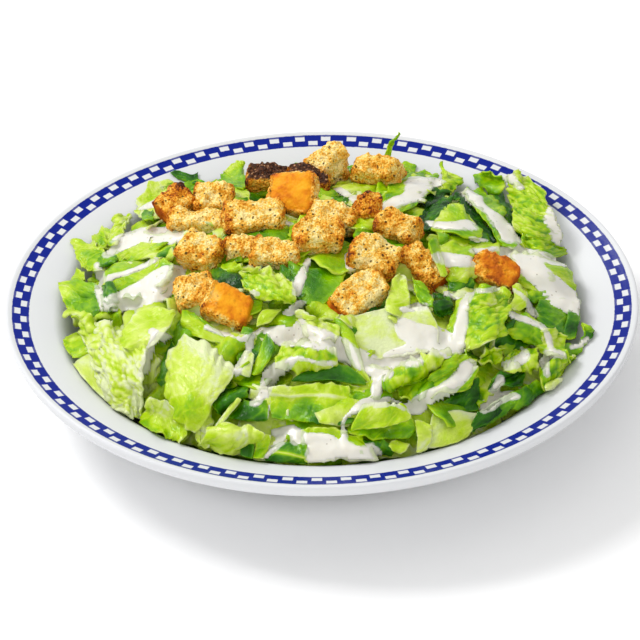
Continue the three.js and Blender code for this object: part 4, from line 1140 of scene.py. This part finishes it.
def sheet_faces(keep):
    """The vertices used, and quads, of two equal grids joined round the edge of the cells to keep."""
    keep_cell = keep[:-1, :-1] & keep[1:, :-1] & keep[:-1, 1:] & keep[1:, 1:]
    index = np.arange(keep.size).reshape(keep.shape)
    quads = np.stack((index[:-1, :-1], index[1:, :-1], index[1:, 1:], index[:-1, 1:]), axis=-1)[keep_cell]
    used, compact = np.unique(quads, return_inverse=True)
    compact = compact.reshape(quads.shape)
    edges = dict.fromkeys((quad[k], quad[(k + 1) % 4]) for quad in compact for k in range(4))
    rim = np.array([edge for edge in edges if (edge[1], edge[0]) not in edges])
    count = len(used)
    sides = np.stack((rim[:, 1], rim[:, 0], rim[:, 0] + count, rim[:, 1] + count), axis=-1)
    return used, np.concatenate((compact, compact[:, ::-1] + count, sides))


def make_dressing(carriers):
    """Creamy dressing, draped over the leaves as a sheet that bridges their creases."""
    tree = surface_tree(carriers)
    toward = Vector((0, -math.cos(DRESSING_TILT), math.sin(DRESSING_TILT)))
    side = Vector((1, 0, 0))
    up = toward.cross(side)
    line = np.arange(-DRAPE_RADIUS, DRAPE_RADIUS, DRESSING_GRID)
    a, b = np.meshgrid(line, line, indexing="ij")
    base = np.array(DRAPE_MIDDLE) + a[..., None] * np.array(side) + b[..., None] * np.array(up)
    height = np.full(a.shape, np.nan)
    for i, j in np.ndindex(a.shape):
        if a[i, j] ** 2 + b[i, j] ** 2 < DRAPE_RADIUS ** 2:
            origin = Vector(base[i, j] + DRAPE_START * np.array(toward))
            hit, _, _, distance = tree.ray_cast(origin, -toward, DRAPE_SEARCH)
            if hit is not None:
                height[i, j] = DRAPE_START - distance
    known = np.isfinite(height)
    weight = known.astype(float)
    low = spread(np.where(known, height, 0.0), BRIDGE_STEPS) / np.maximum(spread(weight, BRIDGE_STEPS), 1e-6)
    filled = np.where(known, height, low)
    draped = spread(np.clip(filled, low - BRIDGE_LOWER, low + BRIDGE_UPPER), SOFTEN_STEPS)
    hits = base + low[..., None] * np.array(toward)
    wet = spread(np.maximum(stroke_mask(*seen_place(hits)), DRY_DEPTH), 1)
    depth = np.where(spread(weight, 2) > 0.5, wet, DRY_DEPTH)
    coarse, fine = (value_noise(a / size, b / size, seed) for seed, size in enumerate(LUMP_SIZES, start=31))
    grain = coarse + FINE_LUMPS * fine
    profile = np.where(depth > 0, np.sqrt(np.clip(depth / FULL_DEPTH, 0, FULLEST)), EDGE_FALL * depth)
    top = draped + BODY_HEIGHT * profile * (1 + LUMP_SHARE * grain) - SINK
    surface = base + top[..., None] * np.array(toward)
    under = base + (np.minimum(top, draped) - SKIRT)[..., None] * np.array(toward)
    used, quads = sheet_faces(depth > SHEET_EDGE)
    vertices = np.concatenate((surface.reshape(-1, 3)[used], under.reshape(-1, 3)[used]))
    piece = new_mesh("dressing_drape", vertices, quads, dressing_material())
    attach(piece, "root")
    return piece


# ---- croutons ----
# Where a face is crust: node number, direction of that face, and what kind of crust it has.
CRUSTS = {
    1: ((-1, -0.6, 0.1), "brown"),
    4: ((0.1, 0.3, 1), "seeded"),
    5: ((0.3, 0.2, 1), "seeded"),
    6: ((0, -0.3, 1), "smooth"),
    18: ((-1, -0.6, -0.5), "brown"),
    19: ((1, -0.5, -0.5), "brown"),
    20: ((0.8, -0.35, 0.5), "brown"),
    22: ((0.7, -0.5, 0.6), "smooth"),
}
# how often a crouton's mesh is smoothed, where more than once, and how much more it is toasted than most
SMOOTHING = {6: 14, 18: 4, 22: 3}
TOAST = {1: 0.3, 4: 0.2, 5: 0.25, 12: 0.12, 14: 0.3, 16: 0.12, 19: 0.18, 20: 0.1}
CROUTON_COUNT, CROUTON_SEED = 22, 40
CRUST_SPREAD = (0.45, 0.72)
LUMP_SIZE, CRAG_SIZE, GRIT_SIZE, PORE_SIZE, SMALL_PORE_SIZE = 7.5, 4.2, 1.6, 3.4, 1.4
DRIFT_SIZE = 7.0
CRAG_SHARPNESS, CRUST_SMOOTH = 2.4, 0.85
PORE_WALL, SMALL_PORE_WALL = (0.08, 0.36), (0.12, 0.45)
CRUMB_SWELL, LUMP_HEIGHT, CRAG_HEIGHT, GRIT_HEIGHT = 1.0, 0.8, 0.8, 0.6
PORE_DEPTH, SMALL_PORE_DEPTH, CRUST_SWELL = 1.1, 0.5, 0.4
EDGE_SPAN = (0.72, 1.0)
# darkening of the crumb: real toasting at the edges, in drifts, on crags and on brown crusts, and painted
# shade in the pores
EDGE_TOAST, DRIFT_TOAST, CRAG_TOAST, PORE_PAINTED_SHADE, BROWN_TOAST = 0.40, 0.36, 0.10, 0.12, 0.4


def make_crouton(name, number, material):
    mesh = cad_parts[name].data.copy()
    mesh.name = name + "_toasted"
    build = bmesh.new()
    build.from_mesh(mesh)
    bmesh.ops.remove_doubles(build, verts=build.verts, dist=1e-6)
    bmesh.ops.join_triangles(build, faces=build.faces, angle_face_threshold=0.9, angle_shape_threshold=3.1)
    for cuts in (4, 1):
        bmesh.ops.subdivide_edges(build, edges=build.edges, cuts=cuts, use_grid_fill=True)
    axes = {"use_axis_x": True, "use_axis_y": True, "use_axis_z": True}
    for _ in range(SMOOTHING.get(number, 1)):
        bmesh.ops.smooth_vert(build, verts=build.verts, factor=0.5, **axes)
    build.to_mesh(mesh)
    build.free()
    points, normals = read_vertices(mesh) / MM, read_vertices(mesh, "normal")
    centre = points.mean(axis=0)
    seed = CROUTON_SEED + number
    toward, kind = CRUSTS.get(number, ((0, 0, 1), None))
    facing = smooth(*CRUST_SPREAD, normals @ np.array(Vector(toward).normalized()))
    bare = np.zeros(len(points))
    crust = facing if kind in ("smooth", "brown") else bare
    seeded = facing if kind == "seeded" else bare
    # torn crumb: lumps, crags and pores, all weaker on a crust
    lumps = solid_noise(points, LUMP_SIZE, seed)
    crags = 1 - CRAG_SHARPNESS * np.abs(solid_noise(points, CRAG_SIZE, seed + 7))
    grit = solid_noise(points, GRIT_SIZE, seed + 11)
    pores = 1 - smooth(*PORE_WALL, solid_cells(points, PORE_SIZE, seed))
    small = 1 - smooth(*SMALL_PORE_WALL, solid_cells(points, SMALL_PORE_SIZE, seed + 3))
    rough = 1 - CRUST_SMOOTH * crust
    relief = CRUMB_SWELL + LUMP_HEIGHT * lumps + CRAG_HEIGHT * crags + GRIT_HEIGHT * grit
    relief = relief - PORE_DEPTH * pores - SMALL_PORE_DEPTH * small
    points = points + normals * (rough * relief + CRUST_SWELL * crust)[:, None]
    mesh.vertices.foreach_set("co", (points * MM).astype(np.float32).ravel())
    away = np.linalg.norm(points - centre, axis=1)
    edge = smooth(*EDGE_SPAN, away / away.max())
    drift = 0.5 + 0.5 * solid_noise(points, DRIFT_SIZE, seed + 1)
    # real toasting, with painted shade in the pores
    toast_and_pit_shade = EDGE_TOAST * edge + DRIFT_TOAST * drift + CRAG_TOAST * crags + PORE_PAINTED_SHADE * pores
    toast_and_pit_shade = toast_and_pit_shade + TOAST.get(number, 0.0)
    if kind == "brown":
        toast_and_pit_shade = toast_and_pit_shade + BROWN_TOAST * facing
    looks = {"toast_and_pit_shade": toast_and_pit_shade, "crust": crust, "seeded": seeded}
    piece = dressed_mesh(name + "_toasted", mesh, material, looks)
    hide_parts(name)
    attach(piece, "root")
    return piece


# ---- studio: light name, place, the point it faces, its size in metres and its power ----
LIGHTS = (
    ("key", (-1.0, 0.55, 1.25), (0, 0, 0.03), 0.55, 15),
    ("sparkle_back", (-0.25, 1.1, 0.95), (0, 0, 0.03), 0.16, 1.6),
    ("sparkle_left", (-1.0, 0.25, 1.0), (0, 0, 0.03), 0.16, 1.6),
    ("top", (-0.1, 0.1, 1.7), (0, 0, 0.03), 1.6, 3),
    ("fill", (-0.1, -1.6, 0.55), (0, 0, 0), 1.8, 11),
)
SKY_STRENGTH = 0.66
FLOOR_HALF = 6.0
SENSOR_WIDTH = 36
VIEW_END = 10


def aim(thing, place, toward):
    thing.location = place
    thing.rotation_mode = "QUATERNION"
    thing.rotation_quaternion = toward.to_track_quat("-Z", "Y")


def make_camera():
    """The photograph's viewpoint: a long lens, raised by ELEVATION and rolled by about a degree."""
    back = Vector(TOWARD_CAMERA)
    data = bpy.data.cameras.new("camera")
    data.sensor_width = SENSOR_WIDTH
    data.lens = FOCAL_PIXELS / FRAME_SIZE * SENSOR_WIDTH
    data.clip_end = VIEW_END
    camera = linked("camera", data)
    aim(camera, Vector(CAMERA_TARGET) * MM + back * (CAMERA_DISTANCE * MM), -back)
    camera.rotation_quaternion = camera.rotation_quaternion @ Matrix.Rotation(-ROLL, 3, "Z").to_quaternion()
    bpy.context.scene.camera = camera


def make_studio():
    world = bpy.data.worlds.new("studio")
    world.use_nodes = True
    sky = world.node_tree.nodes["Background"]
    sky.inputs["Color"].default_value = (1, 1, 1, 1)
    sky.inputs["Strength"].default_value = SKY_STRENGTH
    bpy.context.scene.world = world
    for name, place, target, size, power in LIGHTS:
        data = bpy.data.lights.new(name, "AREA")
        data.shape = "SQUARE"
        data.size = size
        data.energy = power
        aim(linked(name, data), place, Vector(target) - Vector(place))
    corners = [(x * FLOOR_HALF / MM, y * FLOOR_HALF / MM, 0) for x, y in ((-1, -1), (1, -1), (1, 1), (-1, 1))]
    floor = new_mesh("floor", corners, [(0, 1, 2, 3)], floor_material(), smooth_shade=False)
    bpy.context.scene.view_settings.view_transform = "Standard"


# ---- assembly ----
make_camera()
make_plate()
core = make_core()
leaf_finish = leaf_material()
leaves = make_leaves(leaf_finish)
fillers = make_fillers(leaf_finish)
make_dressing([*leaves, fillers, core])
toasted = crouton_material()
for index in range(1, CROUTON_COUNT + 1):
    make_crouton(f"crouton_{index:02d}", index, toasted)
make_studio()
